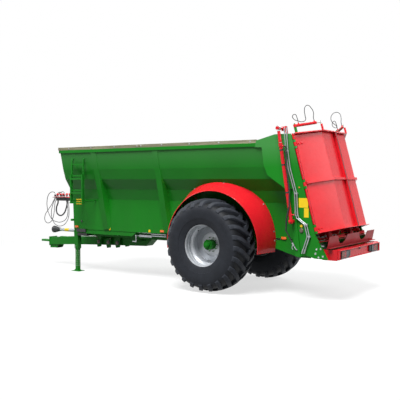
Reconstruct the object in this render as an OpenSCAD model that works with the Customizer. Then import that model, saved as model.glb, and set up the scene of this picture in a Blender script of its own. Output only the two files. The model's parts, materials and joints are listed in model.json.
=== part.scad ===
// Single-axle manure spreader with a folded-sheet body, a lifting slurry gate,
// two vertical beaters and two folding rear doors.
// X runs forward to the towing eye, Y to the left, Z up, with the origin on the
// ground under the middle of the machine.  Each sub-part is drawn with X counted
// from the axle, and from_axle() moves it into the machine's own frame.

/* [Reach] */
// Distance from the axle forward to the tip of the towing eye
eye_reach = 6060; // [5950:10:6200]
// Distance from the axle back to the rear face of the lamps
tail_reach = 2640; // [2630:5:2700]

/* [Wheels] */
// Outer diameter of a tyre over its lugs
tyre_d = 1820; // [1780:10:1840]
// Width of a tyre
tyre_w = 770; // [700:10:780]
// Distance between the middles of the two tyres
track_w = 2210; // [2200:5:2260]
// Outer diameter of a rim's flanges
rim_d = 860; // [840:10:880]

/* [Body] */
// Distance from the axle forward to the front wall
body_front = 4200; // [4150:10:4250]
// Half of the body's width inside the top rails
top_half = 1090; // [1085:1:1095]
// Height of the body's top edge
body_top = 2800; // [2780:5:2820]
// Half of the body's width at the floor
floor_half = 668; // [655:1:670]
// Height of the top of the floor
floor_z = 1110; // [1105:1:1115]
// Height of the side walls' lower edges
skirt_z = 1020; // [1015:1:1025]
// Thickness of the wall sheets
sheet = 6; // [4:1:8]

/* [Rear] */
// Lean of the slurry gate and its lift cylinders, in degrees
gate_lean = 9; // [8.8:0.1:9.2]
// Lean of the frame's front flange, in degrees
flange_lean = 7.2; // [7:0.1:7.4]
// Lean of the rear doors' hinge axes, in degrees
door_lean = 15; // [14.8:0.1:15.2]
// Lean of the beaters' axes, in degrees
beater_lean = 11; // [10.8:0.1:11.2]
// Radius over a beater's flights
beater_r = 220; // [200:1:222]
// Distance from the middle plane to each beater's axis
beater_y = 500; // [490:1:510]
// How far the doors' fold stands behind the hinge axis
door_back = 300; // [295:1:305]
// How far the doors' fold stands inside the hinge axis
door_in = 580; // [570:1:590]

/* [Undercarriage] */
// Radius of the mudguards' outer edges
guard_outer_r = 1050; // [1030:5:1060]
// Radius of the mudguards' inner edges
guard_inner_r = 1200; // [1180:5:1220]
// Width of the axle's square tube
axle_tube = 140; // [120:5:150]
// Outer diameter of the wheel spindles
spindle_d = 90; // [80:1:100]

/* [Hidden] */
GREEN = [0.12, 0.50, 0.16];
DARK_GREEN = [0.05, 0.25, 0.08];
RED = [0.86, 0.13, 0.16];
SILVER = [0.72, 0.74, 0.76];
BLACK = [0.08, 0.08, 0.09];
TYRE = [0.17, 0.18, 0.21];
TIMBER = [0.53, 0.48, 0.35];
ORANGE = [0.95, 0.45, 0.08];
GREY = [0.6, 0.62, 0.64];

axle_x = (tail_reach - eye_reach) / 2;
axle_z = tyre_d / 2;
run = 0.05;                       // radial clearance of a pin in its bore
eps = 0.01;                       // keeps two pieces that touch from sharing a sliver

// Folded wall, top to bottom: [half width, height] of each fold
WALL = [[top_half, body_top], [1003, 2410], [932, 2190], [780, 1965],
        [floor_half + 34, 1735], [floor_half, skirt_z]];

rail_size = 65;
rail_y = 1110;                    // outer face of the top rails
rail_z = body_top - 10;           // underside of the top rails
board_h = 65;
board_t = 45;
rail_back = -1030;                // the rails and boards end here, at the rear gussets

frame_top_z = 3000;               // top of the rear frame's side plates
frame_y = 1100;                   // outer face of the rear frame's side plates
frame_plate = 10;
flange_top_x = -1575;             // front edge of the rear frame at its top
gate_top_x = -1585;               // rear end of the side walls at that height
flange_w = 100;                   // width of the raised flange along that edge
frame_foot_z = 800;               // bottom of that flange
flange_y = frame_y + 20;          // its outer face

hinge_foot = [-2249, 1224];       // [x, z] of the foot of the doors' hinge axes
door_h = 1839;                    // length of a door along its hinge axis
door_t = 5;
seam_gap = 6;                     // half of the gap between the two doors
fold_turn = atan2(door_back, door_in);
hinge_pin_d = 24;
hinge_gap = 33;                   // from the axis forward to the side plate's edge
HINGES = [80, 900, 1640];         // middle of each hinge along the axis

gate_t = 6;
gate_travel = 1200;
gate_foot_z = floor_z + 42;
gate_head_z = 2880;
lift_y = 1200;                    // the lift cylinders stand outside the frame
lift_x = -1540;                   // upper eye of a lift cylinder at rest
lift_z = 3100;
lift_len = 1690;                  // between a lift cylinder's eyes at rest
lift_barrel_len = 1420;

// Door cylinder, seen along the hinge axis: [x, y] from that axis
ram_base = [-10, -150];
ram_tip = [-345, -560];
ram_lift = 150;                   // height of the cylinder's middle over the door's top
ram_len = norm(ram_tip - ram_base);
ram_turn = atan2(ram_tip[1] - ram_base[1], ram_tip[0] - ram_base[0]);
ram_barrel_len = 430;

beater_foot_z = 1095;             // the beater discs' height at their axes
beater_foot_x = -2238;
beater_len = 1560;
pan_z = -22;                      // top of the pan under the discs
disc_r = 300;

// Steel pipes down the rear frame's side: [x, z]
RISER = [[-1670, 3060], [-1700, 2690], [-1750, 2370], [-1880, 1930], [-1895, 1580], [-1920, 1490],
         [-2075, 1380], [-2130, 1170], [-2040, 910]];

// Hose down beside the lift cylinder: [x, z, y from the cylinder's axis]
DROP = [[-1656, 2784, 2], [-1692, 2768, -2], [-1712, 2450, 10], [-1775, 2000, 25], [-1790, 1710, 50],
        [-1740, 1500, 50], [-1700, 1270, 0], [-1770, 1100, -60], [-1840, 980, -60]];

// Hanging hoses, point by point.  A loop starts and ends square to what it comes out of.
FRONT_LOOP_A = [[5460, 110, 1800], [5460, 110, 1838], [5510, 112, 1868], [5610, 114, 1862],
    [5700, 116, 1790], [5750, 118, 1650], [5745, 118, 1470], [5680, 116, 1300], [5560, 113, 1165],
    [5400, 110, 1110], [5220, 108, 1118], [5070, 103, 1200], [5010, 98, 1360], [5030, 96, 1540],
    [5075, 92, 1660], [5110, 72, 1694], [5110, 40, 1694]];
FRONT_LOOP_B = [[5460, -110, 1800], [5460, -110, 1838], [5520, -110, 1862], [5615, -104, 1815],
    [5700, -90, 1690], [5800, -74, 1530], [5920, -62, 1390], [6022, -58, 1260], [6036, -58, 1130],
    [5958, -56, 1060], [5826, -46, 1075], [5702, -22, 1170], [5622, 0, 1330], [5600, 0, 1500],
    [5575, -10, 1630], [5520, -15, 1688], [5450, -15, 1692]];
FRONT_LOOP_C = [[5360, -110, 1800], [5360, -110, 1838], [5410, -136, 1868], [5520, -150, 1862],
    [5640, -150, 1790], [5750, -145, 1660], [5840, -138, 1480], [5866, -130, 1290],
    [5800, -122, 1110], [5660, -116, 1004], [5480, -112, 990], [5320, -108, 1060],
    [5210, -104, 1200], [5175, -100, 1380], [5190, -96, 1560], [5215, -75, 1692], [5215, -40, 1692]];
FRONT_LOOP_D = [[5470, 0, 1650], [5470, 0, 1600], [5494, 30, 1480], [5470, 50, 1360],
    [5390, 60, 1288], [5280, 60, 1278], [5190, 52, 1340], [5144, 34, 1450], [5140, 0, 1570],
    [5140, 0, 1650]];

// Ports of a door's cylinder: [distance along it, height over its axis]
NEAR_PORT = [80, 45];
FAR_PORT = [ram_barrel_len - 30, 45];
hose_rise = 55;
LEFT_REAR_LOOP = concat(
    [ram_point(FAR_PORT[0], FAR_PORT[1]), ram_point(FAR_PORT[0], FAR_PORT[1] + hose_rise)],
    [[-1968, 650, 3400], [-1940, 695, 3485], [-1902, 752, 3528], [-1872, 795, 3500], [-1862, 806, 3420],
     [-1868, 786, 3330], [-1862, 760, 3262], [-1820, 790, 3232], [-1765, 865, 3242], [-1712, 940, 3275],
     [-1705, 965, 3330], [-1738, 940, 3356]],
    [ram_point(NEAR_PORT[0], NEAR_PORT[1] + 100), ram_point(NEAR_PORT[0], NEAR_PORT[1])]);
RIGHT_REAR_LOOP = [for (p = concat(
    [ram_point(FAR_PORT[0], FAR_PORT[1]), ram_point(FAR_PORT[0], FAR_PORT[1] + hose_rise)],
    [[-1950, 665, 3410], [-1905, 700, 3495], [-1830, 715, 3530], [-1755, 700, 3500], [-1722, 690, 3420],
     [-1745, 715, 3330], [-1800, 762, 3272], [-1800, 810, 3238], [-1750, 845, 3232], [-1690, 852, 3270],
     [-1680, 862, 3330], [-1715, 876, 3372]],
    [ram_point(NEAR_PORT[0], NEAR_PORT[1] + 110), ram_point(NEAR_PORT[0], NEAR_PORT[1])]))
        [p[0], -p[1], p[2]]];

// NAMES OF THE SUB-PARTS

// ---------------------------------------------------------------- shared forms
function shifted(points, dy) = [for (p = points) [p[0] + dy, p[1]]];
function reversed(v) = [for (i = [len(v) - 1:-1:0]) v[i]];
function mirrored(points) = [for (p = points) [-p[0], p[1]]];
function flange_x(z) = flange_top_x - (frame_top_z - z) * tan(flange_lean);
function gate_x(z) = gate_top_x - (frame_top_z - z) * tan(gate_lean);
function wall_y(z) = lookup(z, [for (p = reversed(WALL)) [p[1], p[0]]]);
function hinge_point(p) = [hinge_foot[0] + p[0] * cos(door_lean) + p[2] * sin(door_lean), frame_y + p[1],
                           hinge_foot[1] - p[0] * sin(door_lean) + p[2] * cos(door_lean)];
function ram_point(along, up) = hinge_point([ram_base[0] + along * cos(ram_turn),
    ram_base[1] + along * sin(ram_turn), door_h + ram_lift + up]);

module from_axle() { translate([axle_x, 0, 0]) children(); }

module right_side() { mirror([0, 1, 0]) children(); }

module both_sides() {
    children();
    mirror([0, 1, 0]) children();
}

// A box between two opposite corners
module block(low, high) { translate(low) cube(high - low); }

// An outline of [y, z] points drawn out along X
module prism_x(points, x0, x1) {
    translate([x0, 0, 0]) rotate([90, 0, 90]) linear_extrude(x1 - x0) polygon(points);
}

// An outline of [x, z] points drawn out along Y
module prism_y(points, y0, y1) {
    translate([0, y1, 0]) rotate([90, 0, 0]) linear_extrude(y1 - y0) polygon(points);
}

// A round bar from p to q
module bar(p, q, d) {
    v = q - p;
    translate(p) rotate([0, acos(v[2] / norm(v)), atan2(v[1], v[0])])
        cylinder(d = d, h = norm(v), $fn = 32);
}

// A square tube along X, Y or Z
module tube_box(low, high, wall, axis) {
    open = [for (i = [0:2]) i == axis ? -1 : wall];
    difference() {
        block(low, high);
        block(low + open, high - open);
    }
}

// A slab that leans with the gate: x0 and x1 are counted from the side walls' rear end
module gate_slab(x0, x1, y0, y1, z0, z1) {
    prism_y([[gate_x(z0) + x0, z0], [gate_x(z0) + x1, z0],
             [gate_x(z1) + x1, z1], [gate_x(z1) + x0, z1]], y0, y1);
}

// The same for a slab that leans with the rear frame's front flange
module flange_slab(x0, x1, y0, y1, z0, z1) {
    prism_y([[flange_x(z0) + x0, z0], [flange_x(z0) + x1, z0],
             [flange_x(z1) + x1, z1], [flange_x(z1) + x0, z1]], y0, y1);
}

elbow = 1.1;                      // how much thicker an elbow is than its pipe

// A pipe of straight lengths with round elbows through the points of a route
module pipe(route, d) {
    for (i = [0:len(route) - 2]) bar(route[i], route[i + 1], d);
    for (i = [1:len(route) - 2]) translate(route[i]) sphere(d = elbow * d, $fn = 32);
}

function unit(v) = v / norm(v);
function heading(route, i) = unit(route[min(i + 1, len(route) - 1)] - route[max(i - 1, 0)]);

// A hanging hose: an eight-sided tube swept along its route, whose rings stay square to it
module hose(route, d, side) {
    n = 8;
    last = len(route) - 1;
    rings = [for (i = [0:last])
        let (a = unit(cross(heading(route, i), side)), b = cross(heading(route, i), a))
            for (k = [0:n - 1]) route[i] + d / 2 * (a * cos(360 * k / n) + b * sin(360 * k / n))];
    walls = [for (i = [0:last - 1]) for (k = [0:n - 1])
        let (p = i * n + k, q = i * n + (k + 1) % n) each [[p, p + n, q], [q, p + n, q + n]]];
    ends = [[for (k = [0:n - 1]) k], [for (k = [n - 1:-1:0]) last * n + k]];
    polyhedron(rings, concat(walls, ends), convexity = 6);
}

// Places things along the left door's hinge axis, whose Z is the axis
module at_left_hinge() {
    translate([hinge_foot[0], frame_y, hinge_foot[1]]) rotate([0, door_lean, 0]) children();
}

// The same leaning frame in the machine's middle plane
module at_rear_middle() {
    translate([hinge_foot[0], 0, hinge_foot[1]]) rotate([0, door_lean, 0]) children();
}

// ------------------------------------------------------------------------ body
module side_sheet() {
    difference() {
        intersection() {
            prism_x(concat(WALL, reversed(shifted(WALL, -sheet))), -2100, body_front);
            gate_slab(0, 7000, -1300, 1300, skirt_z - 10, rail_z);
        }
        bar([conveyor_back, 0, conveyor_z], [conveyor_back, 1000, conveyor_z], shaft_d + 20);
        block(SKIRT_SLOT[0], SKIRT_SLOT[1]);
    }
}

module left_side_wall() { color(GREEN) from_axle() side_sheet(); }

module right_side_wall() { color(GREEN) from_axle() right_side() side_sheet(); }

// Slot through the skirt ahead of the rear frame
SKIRT_SLOT = [[-1350, 0, 1032], [-1200, 1000, 1068]];

window_half = 430;
window_low = 2330;
window_high = 2680;
post_t = 50;                      // depth of the front wall's posts

module front_wall() {
    inner = shifted(WALL, -sheet);
    color(GREEN) from_axle() {
        difference() {
            prism_x(concat(inner, reversed(mirrored(inner))), body_front - sheet, body_front);
            for (side = [0, 1]) mirror([0, side, 0])
                block([body_front - 50, 40, window_low], [body_front + 50, window_half, window_high]);
            block([body_front - 50, -1200, rail_z], [body_front + 50, 1200, 3000]);
        }
        for (y = [-560, 0, 560])
            block([body_front, y - 30, skirt_z], [body_front + post_t, y + 30, rail_z]);
        for (z = [1400, 1900, window_low - 60])
            block([body_front, -640, z], [body_front + 40, 640, z + 60]);
        for (side = [-1, 1]) for (i = [0:4])
            translate([body_front - 3, side * (105 + 65 * i), window_low - 10])
                cylinder(d = 12, h = window_high - window_low + 20, $fn = 16);
    }
}

module floor_deck() {
    low = floor_z - floor_t;
    half_low = wall_y(low) - sheet - eps;
    half = wall_y(floor_z) - sheet - eps;
    color(DARK_GREEN) from_axle() {
        prism_x([[-half_low, low], [half_low, low], [half, floor_z], [-half, floor_z]],
                conveyor_back + 50, conveyor_front - 50);
        for (x = FLOOR_STATIONS) block([x - 30, -bearer_half, low - 55], [x + 30, bearer_half, low]);
    }
}

RIB_X = [1400, 3150];
rib_w = 140;
rib_foot = [floor_half + 22, skirt_z + 30];

// Channel-section rib: a straight outer band and two cheeks that meet the folded wall
module side_rib(x) {
    band = 6;
    face = [[rail_y - 10, rail_z], rib_foot];
    cheek = concat(face, [[wall_y(skirt_z + 30), skirt_z + 30]],
                   reversed([for (i = [0:4]) WALL[i]]));
    prism_x(concat(face, reversed(shifted(face, -band))), x - rib_w / 2, x + rib_w / 2);
    for (dx = [-rib_w / 2, rib_w / 2 - band])
        difference() {
            prism_x(cheek, x + dx, x + dx + band);
            block([x - rib_w, 0, rail_z], [x + rib_w, 1300, 3000]);
        }
}

module side_ribs() {
    color(GREEN) from_axle() both_sides() for (x = RIB_X) side_rib(x);
}

module top_rails() {
    low_y = rail_y - rail_size;
    color(GREEN) from_axle() difference() {
        union() {
            both_sides() block([rail_back, low_y, rail_z], [body_front + 30, rail_y, rail_z + rail_size]);
            block([body_front - 35, -low_y, rail_z], [body_front + 30, low_y, rail_z + rail_size]);
        }
        both_sides() block([rail_back - 1, low_y + 5, rail_z + 5],
                           [body_front + 25, rail_y - 5, rail_z + rail_size - 5]);
    }
}

module timber_boards() {
    z = rail_z + rail_size;
    color(TIMBER) from_axle() {
        both_sides() {
            block([rail_back, rail_y - board_t, z], [1795, rail_y, z + board_h]);
            block([1805, rail_y - board_t, z], [body_front - 25, rail_y, z + board_h]);
        }
        block([body_front - 15, -rail_y - 20, z], [body_front + 30, rail_y + 20, z + board_h]);
    }
}

// Outline of the plate that ties a side wall to the rear frame: [x, z]
GUSSET = [[-1030, 2900], [-1420, frame_top_z], [flange_top_x + eps, frame_top_z],
          [flange_x(1970) + eps, 1970], [-1270, 2260], [-1190, 2450], [-1150, 2770], [-1010, 2780]];

module rear_gussets() {
    color(GREEN) from_axle() both_sides() prism_y(GUSSET, rail_y, rail_y + 6);
}

// ------------------------------------------------------------------ rear frame
// Outline of a rear side plate: [x, z]
FRAME_SIDE = [[flange_top_x, frame_top_z],
              [hinge_foot[0] + (frame_top_z - hinge_foot[1]) * tan(door_lean) + hinge_gap, frame_top_z],
              [hinge_foot[0] + hinge_gap, hinge_foot[1]], [-2450, 780], [-2210, 785], [-2080, 825],
              [flange_x(frame_foot_z), frame_foot_z]];

// Outline of the lower side plate that carries the rear frame: [x, z]
SILL = [[-900, skirt_z], [-900, 930], [-1250, 860], [-1700, 730], [gate_x(730), 730],
        [gate_x(skirt_z), skirt_z]];

module hinge_fixed() {
    knuckle = 40;
    for (z = HINGES) {
        translate([0, 0, z - 82]) cylinder(d = hinge_pin_d, h = 164, $fn = 48);
        for (dz = [-80, 40]) translate([0, 0, z + dz]) {
            cylinder(d = 44, h = knuckle, $fn = 48);
            block([0, -22, 0], [60, -2, knuckle]);
        }
    }
}

module rear_frame() {
    outside = concat([[frame_y, frame_top_z], [top_half, frame_top_z]], WALL,
                     [[floor_half, 760], [frame_y, frame_foot_z]]);
    prism_y(FRAME_SIDE, frame_y - frame_plate, frame_y);
    difference() {
        flange_slab(-flange_w, 0, frame_y, flange_y, frame_foot_z, frame_top_z);
        flange_slab(8 - flange_w, -8, frame_y - 1, flange_y - 6, frame_foot_z - 5, frame_top_z + 5);
    }
    intersection() {
        prism_x(outside, -2400, -1000);
        union() {
            flange_slab(-12, 0, frame_y - 110, frame_y, frame_foot_z, frame_top_z);
            gate_slab(-8, 0, floor_half, frame_y, 760, rail_z);
        }
    }
    prism_y(SILL, floor_half - sheet, floor_half);
    block([-1880, floor_half - sheet, 780], [-1872, frame_y, 1000]);
    gate_slab(-80, -60, frame_y - 40, frame_y - frame_plate, gate_foot_z, frame_top_z);
    prism_y([[-2450, 780], [-2440, 780], [-2340, 970], [-2350, 970]], frame_y - 50, frame_y - frame_plate);
    difference() {
        bar([conveyor_back, floor_half + 6, conveyor_z], [conveyor_back, 715, conveyor_z], 112);
        bar([conveyor_back, floor_half + 5, conveyor_z], [conveyor_back, 716, conveyor_z], shaft_d + 2 * run);
    }
    at_left_hinge() hinge_fixed();
}

module left_rear_frame() { color(GREEN) from_axle() rear_frame(); }

module right_rear_frame() { color(GREEN) from_axle() right_side() rear_frame(); }

roof_low = door_h - 100;
roof_high = door_h - 12;

module rear_roof_beam() {
    half = frame_y - frame_plate;
    roof = [[62, half], [25, half], [18 - door_back, frame_y - door_in - 5]];
    color(GREEN) from_axle() {
        at_rear_middle() {
            translate([0, 0, roof_low]) difference() {
                linear_extrude(roof_high - roof_low)
                    polygon(concat(roof, reversed([for (p = roof) [p[0], -p[1]]])));
                translate([0, 0, -1]) linear_extrude(roof_high - roof_low - 7)
                    polygon([[54, half - 9], [30, half - 9], [30 - door_back, 510],
                             [30 - door_back, -510], [30, 9 - half], [54, 9 - half]]);
            }
            for (side = [-1, 1]) translate([0, side * (frame_y + ram_base[1]), roof_high]) {
                translate([ram_base[0], 0, 0]) cylinder(d = 50, h = ram_lift + door_h - roof_high - 30, $fn = 48);
                translate([ram_base[0], 0, 0])
                    cylinder(d = 25, h = door_h + ram_lift - roof_high + 45, $fn = 48);
            }
        }
        both_sides() difference() {
            intersection() {
                at_left_beater() translate([0, 0, beater_len + 190]) cylinder(d = 130, h = 300, $fn = 48);
                at_rear_middle() block([-400, 0, 0], [400, 1000, roof_high - 3]);
            }
            at_left_beater() cylinder(d = 60 + 2 * run, h = beater_len + 255, $fn = 48);
        }
    }
}

module at_left_beater() {
    translate([beater_foot_x, beater_y, beater_foot_z]) rotate([0, beater_lean, 0]) children();
}

module beater_pan() {
    apron_x = -2490;
    half = frame_y - frame_plate;
    color(RED) from_axle() {
        difference() {
            translate([beater_foot_x, 0, beater_foot_z]) rotate([0, beater_lean, 0])
                block([-242, -half, pan_z - 8], [330, half, pan_z]);
            both_sides() at_left_beater() translate([0, 0, pan_z - 40]) cylinder(d = 124, h = 60, $fn = 48);
        }
        difference() {
            prism_y([[apron_x + 35, 985], [apron_x + 43, 985], [apron_x + 3, 1180], [apron_x - 5, 1180]],
                    -half, half);
            both_sides() translate([apron_x - 60, beater_y, 1240]) rotate([0, 90, 0])
                cylinder(r = 215, h = 160, $fn = 64);
        }
        block([apron_x - 25, -half, 975], [apron_x + 60, half, 985]);
    }
}

// Spacers between the bumper's arms and the side plates: [x, z]
BUMPER_PINS = [[-2385, 810], [-2335, 895]];

module rear_bumper() {
    x0 = -2600;
    x1 = -2470;
    color(RED) from_axle() {
        difference() {
            block([x0, -1000, 770], [x1, 1000, 940]);
            block([x0 + 8, -1001, 778], [x1 + 1, 1001, 932]);
        }
        both_sides() {
            block([x0, 1000, 760], [-2320, 1010, 950]);
            block([x1, 980, 790], [x1 + 60, 1000, 920]);
            for (p = BUMPER_PINS) bar([p[0], 1005, p[1]], [p[0], frame_y - frame_plate, p[1]], 48);
        }
    }
}

module rear_lamps() {
    color(BLACK) from_axle() both_sides()
        difference() {
            block([-tail_reach, 560, 790], [-2600, 900, 920]);
            block([-tail_reach - 1, 568, 798], [-tail_reach + 6, 892, 912]);
        }
}

// --------------------------------------------------------------- undercarriage
beam_y = 430;
shaft_d = 60;
beam_low = 860;
CROSS_MEMBERS = [-1700, -1000, -280, 280, 1000, 1700, 2400, 3200, 4000];
FLOOR_STATIONS = [-1500, -750, 750, 1450, 2150, 2950, 3750];   // bearers and their side brackets
bearer_half = 620;
pto_z = 910;
drawbar_back = 2240;

// The sprung drawbar's brackets under the frame: [x of the middle, depth below the drawbar]
DRAWBAR_BRACKETS = [[3870, 60], [3560, 70], [3270, 50]];

module main_frame() {
    top = 985;
    outer = beam_y + 50;
    wall = floor_half - sheet;
    low = floor_z - floor_t;
    color(GREEN) from_axle() both_sides() {
        tube_box([-1790, beam_y - 50, beam_low], [body_front, outer, top], 8, 0);
        for (x = FLOOR_STATIONS)
            prism_x([[outer, beam_low + 20], [outer, top], [bearer_half, top + 8], [bearer_half, low],
                     [wall, low], [wall, skirt_z]], x, x + 12);
        prism_y([[2260, skirt_z], [2400, 925], [4140, 925], [4140, skirt_z]], wall - 14, wall - 4);
    }
}

module cross_members() {
    half = beam_y - 50;
    color(GREEN) from_axle() for (x = CROSS_MEMBERS) difference() {
        tube_box([x - 40, -half, beam_low + 2], [x + 40, half, 980], 6, 1);
        bar([x - 50, 0, pto_z], [x + 50, 0, pto_z], 76);
    }
}

module drawbar() {
    half = 120;
    wall = 10;
    color(GREEN) from_axle() {
        difference() {
            prism_y([[drawbar_back, 850], [drawbar_back + 200, 660], [3900, 610], [4800, 572],
                     [5880, 520], [5880, 705], [4800, 765], [3900, 805], [3700, 850]], -half, half);
            prism_y([[drawbar_back + 30, 840], [drawbar_back + 210, 670], [3900, 620], [4800, 582],
                     [5870, 530], [5870, 695], [4800, 755], [3900, 795], [3690, 840]],
                    wall - half, half - wall);
        }
        block([5880, -130, 500], [5900, 130, 725]);
        for (side = [-1, 1]) prism_y([[5590, 534], [5640, 450], [5890, 440], [5890, 520]],
                                     side * 90 - 8, side * 90 + 8);
        block([5640, -82, 445], [5890, 82, 457]);
        both_sides() for (b = DRAWBAR_BRACKETS) {
            difference() {
                prism_y([[b[0] - 90, 830], [b[0] - 70, 640 - b[1]], [b[0] + 50, 620 - b[1]],
                         [b[0] + 90, 700], [b[0] + 90, 830]], half + 40, half + 52);
                translate([b[0], 0, 690]) rotate([-90, 0, 0]) cylinder(d = 60, h = 300, $fn = 48);
            }
            bar([b[0], half, 690], [b[0], half + 70, 690], 60);
        }
        for (x = [2500, 3560]) both_sides() block([x - 60, half, 790], [x + 60, beam_y + 50, beam_low]);
    }
}

eye_hole_r = 25;

module towing_eye() {
    ring_x = eye_reach - 80;
    color(GREEN) from_axle() {
        block([5900, -90, 530], [5925, 90, 700]);
        difference() {
            union() {
                translate([ring_x, 0, 590]) cylinder(r = 80, h = 45, $fn = 64);
                block([5925, -55, 590], [ring_x, 55, 635]);
            }
            translate([ring_x, 0, 580]) cylinder(r = eye_hole_r, h = 70, $fn = 64);
        }
    }
}

// Drop arm at each end of the axle: [y, z]
DROP_ARM = [[540, 705], [600, 705], [680, 830], [680, 975], [590, 975], [540, 900]];
drum_in = 680;

module axle() {
    h = axle_tube / 2;
    low = DROP_ARM[0][1];
    color(DARK_GREEN) from_axle() {
        tube_box([-h, -DROP_ARM[0][0], low], [h, DROP_ARM[0][0], low + 140], 10, 1);
        both_sides() {
            prism_x(DROP_ARM, -h, h);
            block([-90, beam_y - 45, low + 140], [90, beam_y + 45, beam_low]);
            translate([0, 0, axle_z]) rotate([-90, 0, 0]) {
                translate([0, 0, drum_in]) cylinder(r = 205, h = 8, $fn = 64);
                translate([0, 0, drum_in]) cylinder(r = 190, h = 150, $fn = 64);
                translate([0, 0, drum_in]) cylinder(d = spindle_d, h = 470, $fn = 64);
            }
        }
    }
}

// Rolled cone over a wheel, whose inner edge follows the folded wall
module mudguard() {
    guard_t = 5;
    y_in = floor_half - 10;
    y_out = 1200;
    difference() {
        translate([-70, 0, axle_z]) rotate([90, 0, 0]) mirror([0, 0, 1]) rotate([0, 0, -6])
            rotate_extrude(angle = 192, $fn = 96)
                polygon([[guard_inner_r, y_in], [guard_outer_r, y_out], [guard_outer_r + guard_t, y_out],
                         [guard_inner_r + guard_t, y_in]]);
        prism_x(concat(WALL, [[0, skirt_z], [0, body_top]]), -2000, 2000);
        block([-2000, 0, 0], [2000, floor_half, body_top]);
    }
    for (x = [-600, 460]) bar([x, wall_y(1712) + 7, 1700], [x, 1100, axle_z + 1000], 22);
}

module left_mudguard() { color(RED) from_axle() mudguard(); }

module right_mudguard() { color(RED) from_axle() right_side() mudguard(); }

jack_x = 4210;
jack_y = 540;
jack_lift = 300;

module jack_sleeve() {
    h = 56;
    color(GREEN) from_axle() {
        tube_box([jack_x - h, jack_y - h, 540], [jack_x + h, jack_y + h, 1010], 7, 2);
        for (dx = [-h, h - 8]) prism_x([[beam_y + 50, 880], [beam_y + 50, 985], [jack_y - h + 4, 985],
                                        [jack_y - h + 4, 700]], jack_x + dx, jack_x + dx + 8);
        prism_y([[jack_x + h, 1000], [jack_x + h + 24, 960], [jack_x + h, 620]], jack_y - 50, jack_y - 42);
        prism_y([[jack_x + h, 1000], [jack_x + h + 24, 960], [jack_x + h, 620]], jack_y + 42, jack_y + 50);
        block([jack_x - h - 8, jack_y - h - 8, 1010], [jack_x + h + 8, jack_y + h + 8, 1018]);
    }
}

module jack_leg() {
    h = 42;
    color(GREEN) from_axle() {
        difference() {
            block([jack_x - h, jack_y - h, 10], [jack_x + h, jack_y + h, 700]);
            block([jack_x - h + 6, jack_y - h + 6, 11], [jack_x + h - 6, jack_y + h - 6, 701]);
            for (z = [130:50:500]) translate([jack_x, jack_y - 60, z]) rotate([-90, 0, 0])
                cylinder(d = 22, h = 120, $fn = 32);
            for (z = [130:50:500]) translate([jack_x - 60, jack_y, z]) rotate([0, 90, 0])
                cylinder(d = 22, h = 120, $fn = 32);
        }
        block([jack_x - 130, jack_y - 95, 0], [jack_x + 130, jack_y + 95, 10]);
        for (side = [-1, 1]) prism_y([[jack_x + side * h, 10], [jack_x + side * 125, 10],
                                      [jack_x + side * h, 70]], jack_y - 5, jack_y + 5);
    }
}

ladder_x = [3450, 3815];
ladder_y = 1105;
stile = 30;
hook_r = 30;
ladder_hinge = [ladder_y + 35, 1655];
step_pin_d = 12;

module ladder() {
    color(GREEN) from_axle() {
        for (x = ladder_x) {
            block([x - stile / 2, ladder_y - 20, 1640], [x + stile / 2, ladder_y + 10, 2560]);
            translate([x, ladder_y - 5, 2560]) cylinder(d = 24, h = 60, $fn = 24);
            translate([x, ladder_y - 5 - hook_r, 2620]) rotate([90, 0, 90])
                rotate_extrude(angle = 90, $fn = 48) translate([hook_r, 0]) circle(d = 24, $fn = 24);
            bar([x, ladder_y - 5 - hook_r, 2620 + hook_r], [x, wall_y(2632 + hook_r) + 1, 2620 + hook_r], 24);
            bar([x, ladder_y - 10, 1700], [x, wall_y(1712) + 1, 1700], 24);
            for (dx = [-27, 21])
                block([x + dx, ladder_y + 5, ladder_hinge[1] - 15],
                      [x + dx + 6, ladder_hinge[0] + 14, ladder_hinge[1] + 15]);
            block([x - 27, ladder_y + 5, ladder_hinge[1] - 15], [x + 27, ladder_y + 10, ladder_hinge[1] + 15]);
            bar([x - 32, ladder_hinge[0], ladder_hinge[1]], [x + 32, ladder_hinge[0], ladder_hinge[1]], step_pin_d);
        }
        for (z = [2530, 2270, 1940, 1660])
            block([ladder_x[0], ladder_y - 18, z - 15], [ladder_x[1], ladder_y + 8, z + 15]);
    }
}

module ladder_lower() {
    color(GREEN) from_axle() {
        for (x = ladder_x) difference() {
            block([x - stile / 2, ladder_hinge[0] - 12, ladder_hinge[1] - 12],
                  [x + stile / 2, ladder_hinge[0] + 12, 2300]);
            bar([x - stile, ladder_hinge[0], ladder_hinge[1]], [x + stile, ladder_hinge[0], ladder_hinge[1]],
                step_pin_d + 2 * run);
        }
        for (z = [2200, 1880])
            block([ladder_x[0] + stile / 2, ladder_hinge[0] - 11, z - 15],
                  [ladder_x[1] - stile / 2, ladder_hinge[0] + 11, z + 15]);
    }
}

// ------------------------------------------------------------------- front end
COUPLER_X = [5160, 5260, 5360, 5460];

module hose_holder() {
    holder_z = 1710;
    front = body_front + post_t;
    color(RED) from_axle() {
        tube_box([front + 8, -40, holder_z - 60], [5500, 40, holder_z + 20], 5, 0);
        block([front, -60, holder_z - 90], [front + 8, 60, holder_z + 50]);
        block([5120, -160, holder_z + 20], [5500, 160, holder_z + 30]);
        for (x = COUPLER_X) for (y = [-110, 110]) translate([x, y, holder_z + 30])
            cylinder(d = 42, h = 60, $fn = 32);
    }
}

module driveline() {
    front = body_front + post_t;
    color(GREY) from_axle() {
        bar([-1960, 0, pto_z], [front, 0, pto_z], shaft_d);
        block([front, -80, pto_z - 80], [front + 12, 80, skirt_z + 120]);
    }
}

module pto_shaft() {
    color(GREY) from_axle() translate([body_front + 70, 0, pto_z]) rotate([0, 90, 0]) difference() {
        cylinder(d = 46, h = 1390, $fn = 48);
        translate([0, 0, 1250]) cylinder(d = 35, h = 150, $fn = 48);
    }
}

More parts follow.
